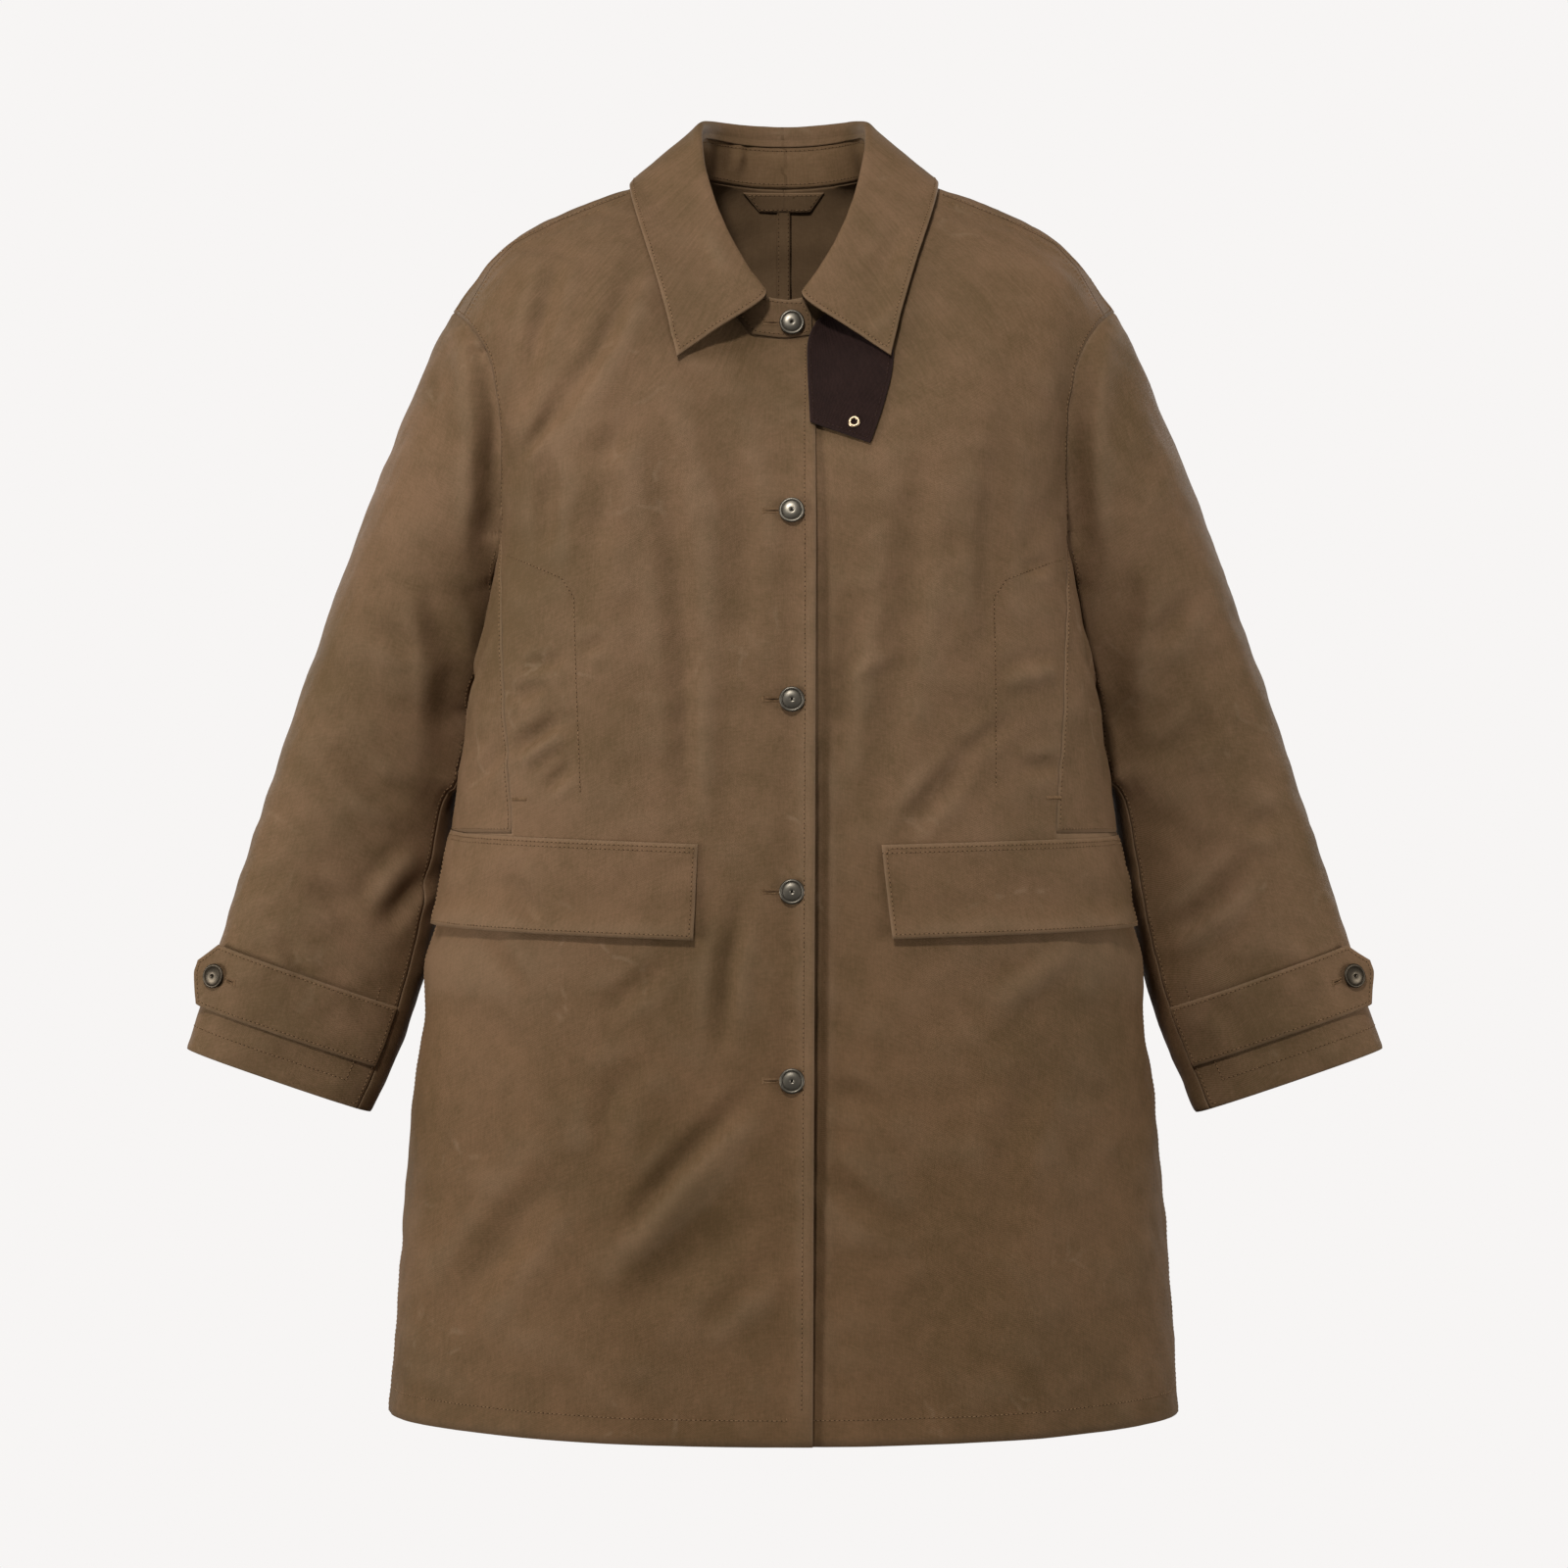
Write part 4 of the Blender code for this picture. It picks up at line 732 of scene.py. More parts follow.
@dataclass
class ClothShell:
    """Fine cloth wall made on the form of a CAD node.

    Attributes:
        node: CAD node that it stands for.
        flat: Width and length of the piece's cut; not used.
        area: Flat area of the cut; not used.
        creases: Creases that lie on the piece.
        grain: What its threads run round.
        inside_out: True where the side that shows is the hollow one.
        rumple_height: Height of the small waves.
        levels: Subdivision levels.
        fold_angle: Turn between faces above which an edge of the wall is sharp.
        corner_angle: Turn above which a rim keeps its corner.
        edge_roll: How far the outer skin sinks at its border.
        edge_band: Distance from the border over which it sinks.
    """

    node: str
    flat: tuple[float, float]
    area: float
    creases: Sequence[Crease] = ()
    grain: Grain = Grain.BODY
    inside_out: bool = False
    rumple_height: float = 0.0010
    levels: int = 3
    fold_angle: float = math.radians(50.0)
    corner_angle: float = math.radians(40.0)
    edge_roll: float = 0.00055
    edge_band: float = 0.0035
    points: np.ndarray = field(init=False, repr=False)
    ways: np.ndarray = field(init=False, repr=False)
    faces: np.ndarray = field(init=False, repr=False)
    skins: np.ndarray = field(init=False, repr=False)
    rims: dict[Skin, list[np.ndarray]] = field(init=False, repr=False)
    wear: np.ndarray = field(init=False, repr=False)
    piece: bpy.types.Object = field(init=False, repr=False)

    def build(self, source: bpy.types.Object) -> bpy.types.Object:
        """Builds the shell from the node's mesh.

        Args:
            source: The CAD node's object.

        Returns:
            The finished piece, with no material yet.
        """
        mesh = self.subdivided(self.cage(source))
        self.points = mesh_points(mesh).astype(float)
        corners = np.empty(len(mesh.loops), np.int32)
        mesh.loops.foreach_get("vertex_index", corners)
        self.faces = corners.reshape(-1, 4)
        self.skins = np.empty(len(mesh.polygons), np.int32)
        mesh.polygons.foreach_get("material_index", self.skins)
        self.ways = self.outward_ways()
        self.rims = {skin: self.rim_loops(skin) for skin in (Skin.OUTER, Skin.INNER)}
        self.shape()
        place_points(mesh, self.points)
        self.map_cloth(mesh)
        self.piece = new_piece(f"cloth_{self.node}", mesh)
        mesh.shade_smooth()
        return self.piece

    def cage(self, source: bpy.types.Object) -> bmesh.types.BMesh:
        """Turns the node's loose triangles into a merged quad cage with its rims creased.

        Args:
            source: The CAD node's object.

        Returns:
            The cage, with each face's skin as its material index.
        """
        cage = bmesh.new()
        cage.from_mesh(source.data)
        bmesh.ops.remove_doubles(cage, verts=cage.verts[:], dist=MERGE_DISTANCE)
        bmesh.ops.join_triangles(
            cage,
            faces=cage.faces[:],
            angle_face_threshold=QUAD_TURN,
            angle_shape_threshold=QUAD_SKEW,
        )
        cage.faces.ensure_lookup_table()
        cage.normal_update()
        self.part_skins(cage)
        crease = cage.edges.layers.float.get("crease_edge") or cage.edges.layers.float.new("crease_edge")
        for edge in cage.edges:
            rims = [face.material_index == Skin.RIM for face in edge.link_faces]
            turn = edge.calc_face_angle(0.0)
            edge[crease] = 1.0 if any(rims) and (not all(rims) or turn > self.corner_angle) else 0.0
        return cage

    def part_skins(self, cage: bmesh.types.BMesh) -> None:
        """Marks the faces of the wall's outer skin, inner skin and rim.

        The cage is parted at its sharp edges. The two parts with the most area are the skins, and
        the outer one looks away from the axis that the piece goes round.
        """
        groups = []
        seen: set[int] = set()
        for first in cage.faces:
            first.material_index = Skin.RIM
            if first.index in seen:
                continue
            group = [first]
            seen.add(first.index)
            for face in group:
                for edge in face.edges:
                    if edge.calc_face_angle(0.0) < self.fold_angle:
                        fresh = [other for other in edge.link_faces if other.index not in seen]
                        seen.update(other.index for other in fresh)
                        group += fresh
            groups.append(group)
        groups.sort(key=lambda group: sum(face.calc_area() for face in group), reverse=True)
        skins = sorted(groups[:2], key=self.outward_share, reverse=not self.inside_out)
        for skin, group in zip((Skin.OUTER, Skin.INNER), skins):
            for face in group:
                face.material_index = skin

    def outward_share(self, group: Sequence[bmesh.types.BMFace]) -> float:
        """Returns how far a group of faces looks away from the piece's axis, over its area."""
        middles = np.array([face.calc_center_median() for face in group])
        normals = np.array([face.normal * face.calc_area() for face in group])
        return float((self.from_axis(middles)[0] * normals).sum())

    def from_axis(self, points: np.ndarray) -> tuple[np.ndarray, np.ndarray]:
        """Returns how points lie away from the axis of the piece's threads, and how far along it."""
        top, bottom, _ = self.grain.value
        mirror = -1.0 if self.grain is Grain.ARM and self.node.endswith("_right") else 1.0
        flip = np.array([mirror, 1.0, 1.0])
        axis = (np.array(bottom) - np.array(top)) * flip
        axis /= np.linalg.norm(axis)
        away = points - np.array(top) * flip
        along = away @ axis
        return away - along[:, None] * axis, along

    def subdivided(self, cage: bmesh.types.BMesh) -> bpy.types.Mesh:
        """Subdivides the cage smoothly and returns the fine mesh."""
        coarse = finished_mesh(cage, f"{self.node}_cage")
        for _ in Skin:
            coarse.materials.append(None)
        helper = new_piece(f"{self.node}_cage", coarse)
        smooth = helper.modifiers.new("smooth", "SUBSURF")
        smooth.levels = self.levels
        smooth.render_levels = self.levels
        bpy.context.view_layer.update()
        graph = bpy.context.evaluated_depsgraph_get()
        mesh = bpy.data.meshes.new_from_object(helper.evaluated_get(graph))
        mesh.name = f"cloth_{self.node}"
        bpy.data.objects.remove(helper)
        bpy.data.meshes.remove(coarse)
        return mesh

    def outward_ways(self) -> np.ndarray:
        """Returns the outward direction of the cloth at each point, alike on both skins."""
        corners = self.points[self.faces]
        normals = np.cross(corners[:, 2] - corners[:, 0], corners[:, 3] - corners[:, 1])
        normals[self.skins == Skin.INNER] *= -1.0
        normals[self.skins == Skin.RIM] = 0.0
        ways = np.zeros_like(self.points)
        for corner in range(4):
            np.add.at(ways, self.faces[:, corner], normals)
        sizes = np.linalg.norm(ways, axis=1)
        known = np.flatnonzero(sizes > NO_LENGTH)
        ways[known] /= sizes[known, None]
        lookup = point_lookup(self.points[known])
        for index in np.flatnonzero(sizes <= NO_LENGTH):
            ways[index] = ways[known[lookup.find(self.points[index])[1]]]
        return ways

    def rim_loops(self, skin: Skin) -> list[np.ndarray]:
        """Walks the edges between one skin and the rim.

        Args:
            skin: The skin whose border is walked.

        Returns:
            Each border as vertex indices in order.
        """
        sides = np.stack([self.faces, np.roll(self.faces, -1, axis=1)], axis=-1).reshape(-1, 2)
        owner = np.repeat(self.skins, 4)
        ours = sides[owner == skin]
        theirs = {tuple(sorted(pair)) for pair in sides[owner == Skin.RIM].tolist()}
        following = {a: b for a, b in ours.tolist() if tuple(sorted((a, b))) in theirs}
        loops = []
        while following:
            start = next(iter(following))
            loop = [start]
            while loop[-1] in following:
                loop.append(following.pop(loop[-1]))
            loops.append(np.array(loop))
        return sorted(loops, key=len, reverse=True)

    def rim_distance(self) -> np.ndarray:
        """Returns each point's distance to the outer skin's border, at most the edge band."""
        lookup = point_lookup(self.border())
        distance = np.full(len(self.points), self.edge_band)
        for index in np.unique(self.faces[self.skins != Skin.INNER]):
            found = lookup.find(self.points[index])[2]
            distance[index] = min(found, self.edge_band)
        return distance

    def shape(self) -> None:
        """Moves the points by the creases, the small waves and the rolled edges."""
        lift = crease_lift(self.points, self.ways, self.creases)
        for share, length, seed in RUMPLES:
            lift += rumple(self.points, self.rumple_height * share, length, seed)
        near_edge = 1.0 - self.rim_distance() / self.edge_band
        on_inner = np.zeros(len(self.points), bool)
        on_inner[np.unique(self.faces[self.skins == Skin.INNER])] = True
        roll = np.where(on_inner, 0.0, self.edge_roll * near_edge**2)
        self.wear = np.clip(near_edge**3 + np.clip(lift / WORN_LIFT, 0.0, RIDGE_WEAR), 0.0, 1.0)
        self.points = self.points + self.ways * (lift - roll)[:, None]

    def map_cloth(self, mesh: bpy.types.Mesh) -> None:
        """Lays a UV map in metres along the threads, and keeps the wear of each point."""
        away, along = self.from_axis(self.points)
        radius = self.grain.value[2]
        turn = np.arctan2(away[:, 0], -away[:, 1])
        reach = np.linalg.norm(away, axis=1)
        places = np.stack([turn * radius, reach - along], axis=1)
        layer = mesh.uv_layers.new(name="cloth")
        layer.uv.foreach_set("vector", places[self.faces.ravel()].astype(np.float32).ravel())
        wear = mesh.attributes.new("wear", "FLOAT", "POINT")
        wear.data.foreach_set("value", self.wear.astype(np.float32))

    def border(self) -> np.ndarray:
        """Returns the points of the outer skin's border."""
        return self.points[np.concatenate(self.rims[Skin.OUTER])]

    def move(self, shifts: np.ndarray) -> None:
        """Moves the points of the finished piece."""
        self.points = self.points + shifts
        place_points(self.piece.data, self.points)

    def lean(self, way: float, level: float, spread: float, reach: float) -> None:
        """Leans the side of the piece that looks along X towards its neighbour.

        Args:
            way: Which way along X the side looks, 1 or -1.
            level: Height at which it leans most.
            spread: Distance over which this fades, up and down.
            reach: How far it leans.
        """
        share = np.exp(-(((self.points[:, 2] - level) / spread) ** 2))
        share *= smooth_step(way * self.ways[:, 0] / LEAN_SPAN)
        self.move(np.outer(share, (way * reach, 0.0, 0.0)))

    def tree(self, skin: Skin = Skin.OUTER) -> BVHTree:
        """Returns a search tree over one skin."""
        return joint_tree([self], skin)

    def border_rows(
        self, inset: float, keep: Callable[[np.ndarray], np.ndarray], skin: Skin = Skin.OUTER
    ) -> list[StitchRow]:
        """Draws rows beside stretches of the piece's border.

        Args:
            inset: Distance of the rows from the border.
            keep: Tells which border points the rows lie beside.
            skin: The skin that they lie on.

        Returns:
            The rows.
        """
        tree = self.tree(skin)
        rows = []
        for loop in self.rims[skin]:
            closed = loop[0] == loop[-1]
            loop = loop[:-1] if closed else loop
            kept = keep(self.points[loop])
            if closed and not kept.all():
                shift = -int(np.argmin(kept))
                loop, kept = np.roll(loop, shift), np.roll(kept, shift)
            held = np.flatnonzero(kept)
            for run in np.split(held, np.flatnonzero(np.diff(held) > 1) + 1):
                if len(run) > SHORTEST_RUN:
                    rows += self.inset_rows(loop[run], inset, skin, tree)
        return rows

    def inset_rows(self, run: np.ndarray, inset: float, skin: Skin, tree: BVHTree) -> list[StitchRow]:
        """Moves a stretch of border inwards, clears its corners and lays it on the skin."""
        points = self.points[run]
        normals = self.ways[run] * (-1.0 if skin is Skin.INNER else 1.0)
        inward = np.cross(normals, np.gradient(points, axis=0))
        inward /= np.maximum(np.linalg.norm(inward, axis=1), 1e-9)[:, None]
        moved = points + inward * inset
        lookup = point_lookup(points)
        row = []
        for place in moved:
            found, normal, _, _ = tree.find_nearest(place)
            if lookup.find(found)[2] > inset * CORNER_CLEAR:
                row.append((*found, *normal))
        row = np.array(row).reshape(-1, 6)
        if len(row) < 4:
            return []
        gaps = np.linalg.norm(np.diff(row[:, :3], axis=0), axis=1)
        jumps = np.flatnonzero(gaps > ROW_BREAK) + 1
        return [StitchRow(part[:, :3], part[:, 3:]) for part in np.split(row, jumps) if len(part) > 3]

    def dress(self, materials: Sequence[bpy.types.Material], slot: str) -> None:
        """Args:
            materials: Materials of the outer skin, the inner skin and the rim.
            slot: The record's material slot; not used.
        """
        for index, material in enumerate(materials):
            self.piece.data.materials[index] = material
        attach(self.piece, BODY)
        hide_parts(self.node)
        log.info("cloth %s, %d faces", self.node, len(self.faces))


@dataclass
class StitchRow:
    """A row of points on cloth that stitches follow.

    Attributes:
        points: Points of the row.
        normals: Outward direction of the cloth at each point.
    """

    points: np.ndarray
    normals: np.ndarray

    def at(self, distances: np.ndarray) -> tuple[np.ndarray, np.ndarray]:
        """Reads points and normals at distances along the row."""
        lengths = self.lengths()
        read = [
            np.stack([np.interp(distances, lengths, values[:, axis]) for axis in range(3)], axis=1)
            for values in (self.points, self.normals)
        ]
        return read[0], read[1]

    def lengths(self) -> np.ndarray:
        """Returns the distance along the row at each point."""
        return run_lengths(self.points)


@dataclass(frozen=True)
class Needle:
    """Sizes of a stitch.

    Attributes:
        length: Length of one stitch.
        pitch: Distance from one stitch to the next.
        width: Thickness of the thread across.
        height: How far the thread stands off the cloth.
        lean: Turn of each stitch from the row's direction.
        phase: Place of the first stitch, as a share of the pitch.
    """

    length: float = 0.0026
    pitch: float = 0.0034
    width: float = 0.00075
    height: float = 0.00050
    lean: float = 0.0
    phase: float = 0.5


TOPSTITCH = Needle()
# Painted shade: dark marks for the needle holes
NEEDLE_HOLE_SHADE = Needle(length=0.0012, width=0.0009, height=0.00026, phase=0.0)
BAR_TACK = Needle(length=0.0030, pitch=0.0007, width=0.0007, height=0.0006, lean=math.pi / 2)
# Painted shade: a dark line for the groove of a seam
GROOVE_SHADE = Needle(length=0.0034, pitch=0.0020, width=0.0008, height=0.00020)
PURL = Needle(length=0.0019, pitch=0.0008, width=0.0007, height=0.0006, lean=math.pi / 2)


class Sewing:
    """All stitches of one thread, gathered into a single piece."""

    def __init__(
        self, name: str, finish: ThreadFinish, slot: str, segments: tuple[int, int] = (6, 3)
    ) -> None:
        """Starts with no stitches.

        Args:
            name: Name of the piece.
            finish: Finish of the thread.
            slot: The record's material slot; kept, but not used.
            segments: Segments round a stitch and along it.
        """
        self.name = name
        self.finish = finish
        self.slot = slot
        self.corners: list[np.ndarray] = []
        self.spindle, self.sides = self.unit_spindle(*segments)

    @staticmethod
    def unit_spindle(around: int, along: int) -> tuple[np.ndarray, list[list[int]]]:
        """Returns the corners and faces of a stitch of unit size that lies along Z."""
        shape = bmesh.new()
        bmesh.ops.create_uvsphere(shape, u_segments=around, v_segments=along, radius=1.0)
        corners = np.array([vert.co for vert in shape.verts])
        sides = [[vert.index for vert in face.verts] for face in shape.faces]
        shape.free()
        return corners, sides

    def sew(self, row: StitchRow, needle: Needle = TOPSTITCH) -> None:
        """Adds stitches along a row, each a low spindle that lies on the cloth.

        Args:
            row: The row to follow.
            needle: Sizes of the stitches.
        """
        total = row.lengths()[-1]
        if len(row.points) < 2 or total < needle.pitch:
            log.warning("%s: a row is too short for its stitches", self.name)
            return
        middles = np.arange(needle.pitch * needle.phase, total, needle.pitch)
        places, ups = row.at(middles)
        ahead = row.at(np.minimum(middles + needle.pitch / 2, total))[0]
        behind = row.at(np.maximum(middles - needle.pitch / 2, 0.0))[0]
        ups /= np.linalg.norm(ups, axis=1)[:, None]
        ways = ahead - behind
        ways -= ups * (ways * ups).sum(axis=1)[:, None]
        ways /= np.maximum(np.linalg.norm(ways, axis=1), 1e-9)[:, None]
        along = ways * math.cos(needle.lean) + np.cross(ups, ways) * math.sin(needle.lean)
        axes = np.stack([np.cross(ups, along), ups, along], axis=1)
        axes *= np.array([needle.width / 2, needle.height, needle.length / 2])[None, :, None]
        self.corners.append((places[:, None, :] + self.spindle @ axes).reshape(-1, 3))

    def build(self) -> bpy.types.Object:
        """Makes the piece from every stitch sewn so far and returns it."""
        mesh = bpy.data.meshes.new(self.name)
        corners = np.concatenate(self.corners)
        starts = range(0, len(corners), len(self.spindle))
        faces = [[start + index for index in side] for start in starts for side in self.sides]
        mesh.from_pydata(corners, [], faces)
        mesh.shade_smooth()
        mesh.materials.append(self.finish.material())
        piece = new_piece(self.name, mesh)
        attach(piece, BODY)
        log.info("%s, %d stitches", self.name, len(starts))
        return piece


def ease_cloth(shell: ClothShell, seam: KDTree, moves: np.ndarray, ease: float) -> None:
    """Moves the cloth of a piece with its seam, and less the further it lies from it.

    Args:
        shell: The piece.
        seam: Lookup of the seam's points.
        moves: Moves of those points.
        ease: Distance from the seam over which the move fades.
    """
    nearest = [seam.find(point) for point in shell.points]
    share = np.exp(-((np.array([distance for _, _, distance in nearest]) / ease) ** 2))
    shell.move(moves[[index for _, index, _ in nearest]] * share[:, None])


def sew_together(
    moved: Sequence[ClothShell], fixed: Sequence[ClothShell], reach: float, ease: float, even_over: float
) -> None:
    """Brings the borders of some pieces against the borders of others, and eases the cloth behind.

    Args:
        moved: Pieces whose borders move.
        fixed: Pieces that they are sewn to.
        reach: Distance up to which a border point finds its place on the other border.
        ease: Distance from the border over which the move fades.
        even_over: Distance along the border over which the moves are evened out.
    """
    goal = np.concatenate([shell.border() for shell in fixed])
    goals = point_lookup(goal)
    own = np.concatenate([shell.border() for shell in moved])
    found = [goals.find(point) for point in own]
    away = np.array([distance for _, _, distance in found])
    near = away < reach
    own = own[near]
    moves = np.array([place for place, _, _ in found])[near] - own
    moves *= smooth_step(2.0 * (1.0 - away[near] / reach))[:, None]
    seams = point_lookup(own)
    groups = [[index for _, index, _ in seams.find_range(point, even_over)] for point in own]
    even = np.array([moves[group].mean(axis=0) for group in groups])
    for shell in moved:
        ease_cloth(shell, seams, even, ease)


def lay_down(shell: ClothShell, under: BVHTree, above: float, ease: float) -> None:
    """Lays the top edge of a piece on the cloth under it.

    Args:
        shell: The piece.
        under: Search tree of the cloth under it.
        above: Height above which its border counts as the top edge.
        ease: Distance from the edge over which the move fades.
    """
    edge = shell.points[np.concatenate(shell.rims[Skin.INNER])]
    edge = edge[edge[:, 2] > above]
    moves = np.array([under.find_nearest(point)[0] for point in edge]) - edge
    ease_cloth(shell, point_lookup(edge), moves, ease)


def joint_tree(shells: Sequence[ClothShell], skin: Skin = Skin.OUTER) -> BVHTree:
    """Returns one search tree over the same skin of several shells."""
    points: list = []
    faces: list = []
    for shell in shells:
        faces += (shell.faces[shell.skins == skin] + len(points)).tolist()
        points += shell.points.tolist()
    return BVHTree.FromPolygons(points, faces)


def route_row(tree: BVHTree, route: Sequence[tuple[float, float]]) -> StitchRow:
    """Lays a route drawn from the front on cloth.

    Args:
        tree: Search tree of the cloth.
        route: Points (x, z) of the route.

    Returns:
        The row.
    """
    path = np.array(route)
    lengths = run_lengths(path)
    steps = np.linspace(0.0, lengths[-1], max(4, int(lengths[-1] / ROUTE_STEP)))
    row = []
    for x, z in zip(np.interp(steps, lengths, path[:, 0]), np.interp(steps, lengths, path[:, 1])):
        found, normal, _, _ = tree.ray_cast(Vector((x, BEFORE_COAT, z)), Vector((0.0, 1.0, 0.0)))
        if found is not None:
            row.append((*found, *normal))
    row = np.array(row).reshape(-1, 6)
    return StitchRow(row[:, :3], row[:, 3:])


@dataclass
class TurnedPiece:
    """A round metal piece, turned from a profile on the place and axis of its CAD node.

    Attributes:
        node: CAD node that it stands for.
        profile: Points (radius, height) from the middle of the face round to the middle of the back.
        crest: Height at which the finish starts to be rubbed.
        steps: Steps of the turn.
    """

    node: str
    profile: tuple[tuple[float, float], ...]
    crest: float
    steps: int = 48
    piece: bpy.types.Object = field(init=False, repr=False)

    def build(self, source: bpy.types.Object) -> bpy.types.Object:
        """Builds the piece on its node and returns it.

        Args:
            source: The CAD node's object.
        """
        points = np.unique(mesh_points(source.data).round(6), axis=0).astype(float)
        middle = (points.min(axis=0) + points.max(axis=0)) / 2
        axis = np.linalg.svd(points - points.mean(axis=0), full_matrices=False)[2][2]
        axis *= -1.0 if axis[1] > 0 else 1.0
        base = ((points - middle) @ axis).min()
        turn = Vector(axis).to_track_quat("Z", "Y").to_matrix().to_4x4()
        seat = Matrix.Translation(Vector(middle + axis * base)) @ turn
        turned = bmesh.new()
        verts = [turned.verts.new((radius, 0.0, height)) for radius, height in self.profile]
        edges = [turned.edges.new(pair) for pair in zip(verts, verts[1:])]
        bmesh.ops.spin(
            turned, geom=verts + edges, cent=(0, 0, 0), axis=(0, 0, 1), angle=2 * math.pi,
            steps=self.steps, use_merge=True,
        )
        bmesh.ops.remove_doubles(turned, verts=turned.verts[:], dist=0.00001)
        bmesh.ops.recalc_face_normals(turned, faces=turned.faces[:])
        mesh = finished_mesh(turned, self.node)
        wear = mesh.attributes.new("wear", "FLOAT", "POINT")
        top = max(height for _, height in self.profile)
        for vertex, value in zip(mesh.vertices, wear.data):
            value.value = min(max((vertex.co.z - self.crest) / (top - self.crest), 0.0), 1.0)
        mesh.transform(seat)
        mesh.shade_smooth()
        self.piece = new_piece(f"turned_{self.node}", mesh)
        return self.piece

    def dress(self, material: bpy.types.Material, slot: str) -> None:
        """Gives the piece its material, and hides the CAD node that it stands for."""
        self.piece.data.materials.append(material)
        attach(self.piece, BODY)
        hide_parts(self.node)
        log.info("turned %s", self.node)


BUTTON_PROFILE = (
    (0.0, 0.0024), (0.0007, 0.0025), (0.0010, 0.0032), (0.0014, 0.0036), (0.0020, 0.00370),
    (0.0034, 0.00360), (0.0048, 0.00335), (0.0060, 0.00300), (0.0066, 0.00275), (0.0069, 0.00265),
    (0.0072, 0.00285), (0.0076, 0.00315), (0.0082, 0.00320), (0.0087, 0.00295), (0.0091, 0.0024),
    (0.0088, 0.0019), (0.0080, 0.0016), (0.0045, 0.0014), (0.0042, 0.0), (0.0, 0.0),
)
EYELET_PROFILE = (
    (0.0021, 0.0), (0.0022, 0.0008), (0.0026, 0.0012), (0.0033, 0.00135), (0.0040, 0.0011),
    (0.0045, 0.0006), (0.0046, 0.0), (0.0040, -0.0001), (0.0026, -0.0001), (0.0021, 0.0),
)


@dataclass(frozen=True)
class SeamLine:
    """Stitches beside a stretch of a piece's border.

    Attributes:
        node: CAD node of the piece.
        inset: Distance of the stitches from the border.
        beside: Pieces that the stretch lies along, or none for every piece.
        clear: Pieces that the stretch stays away from.
        window: Limits of the stretch: x from, x to, z from, z to.
        reach: Distance that counts as beside a piece.
        skin: Skin that the stitches lie on.
    """

    node: str
    inset: float
    beside: tuple[str, ...] = ()
    clear: tuple[str, ...] = ()
    window: tuple[float, float, float, float] = (-1.0, 1.0, -1.0, 1.0)
    reach: float = 0.007
    skin: Skin = Skin.OUTER


# Cross-section of the felled seam: shares of its width and of its rise
STRIP_SECTION = (
    (-0.5, 0.0), (-0.47, 0.8), (-0.40, 1.0), (0.40, 1.0), (0.47, 0.8), (0.5, 0.0), (0.0, -0.25),
)
# Its two rows of stitches, and the painted shade line of the groove beside it, as shares of its width from
# its middle
STRIP_STITCHES = (-0.36, 0.36)
STRIP_GROOVE_SHADE = (0.56,)
# Height of that painted shade line, as a share of the strip's rise
GROOVE_SHADE_HEIGHT = 0.1
# Place along Y from which the strip looks for the back
INSIDE_COAT = -0.02


@dataclass
class SeamStrip:
    """Felled seam down the inside of the centre back, a flat strip on the two backs.

    Attributes:
        width: Width of the strip.
        rise: How far it stands off the cloth.
        levels: Heights that it runs between.
        shift: Place of its middle along X.
        rows: Number of rows along it.
    """

    width: float = 0.0100
    rise: float = 0.0018
    levels: tuple[float, float] = (-0.012, -0.918)
    shift: float = -0.0004
    rows: int = 220
    middle: list[tuple[Vector, Vector]] = field(init=False, default_factory=list)
    piece: bpy.types.Object = field(init=False, repr=False)

    def build(self, tree: BVHTree) -> bpy.types.Object:
        """Lays the strip on the inside of the backs and returns it.

        Args:
            tree: Search tree of the backs' inner skins.
        """
        strip = bmesh.new()
        rings = []
        for level in np.linspace(*self.levels, self.rows):
            start = Vector((self.shift, INSIDE_COAT, level))
            found, normal, _, _ = tree.ray_cast(start, Vector((0.0, 1.0, 0.0)))
            if found is None:
                continue
            inward = Vector((0.0, normal.y, normal.z)).normalized()
            self.middle.append((found, inward))
            rings.append([
                strip.verts.new(found + Vector((across * self.width, 0.0, 0.0)) + inward * (up * self.rise))
                for across, up in STRIP_SECTION
            ])
        for first, second in zip(rings, rings[1:]):
            for index in range(len(STRIP_SECTION)):
                after = (index + 1) % len(STRIP_SECTION)
                strip.faces.new((first[index], first[after], second[after], second[index]))
        strip.faces.new(rings[0])
        strip.faces.new(rings[-1])
        bmesh.ops.recalc_face_normals(strip, faces=strip.faces[:])
        mesh = finished_mesh(strip, "felled_seam")
        layer = mesh.uv_layers.new(name="cloth")
        for loop, place in zip(mesh.loops, layer.uv):
            corner = mesh.vertices[loop.vertex_index].co
            place.vector = (corner.x, corner.z)
        mesh.attributes.new("wear", "FLOAT", "POINT")
        self.piece = new_piece("felled_seam", mesh)
        return self.piece

    def dress(self, material: bpy.types.Material, slot: str) -> None:
        """Gives the strip its material."""
        self.piece.data.materials.append(material)
        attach(self.piece, BODY)

    def rows_of_stitches(self, places: Sequence[float], height: float = 1.0) -> list[StitchRow]:
        """Returns rows along the strip.

        Args:
            places: Where the rows lie across it, as shares of its width from its middle.
            height: Their height, as a share of its rise.
        """
        rows = []
        for across in places:
            offset = Vector((across * self.width, 0.0, 0.0))
            points = [found + offset + inward * (self.rise * height) for found, inward in self.middle]
            rows.append(StitchRow(np.array(points), np.array([inward for _, inward in self.middle])))
        return rows


LAPS = {"right": EDGE_CURL, "left": UNDERLAP}


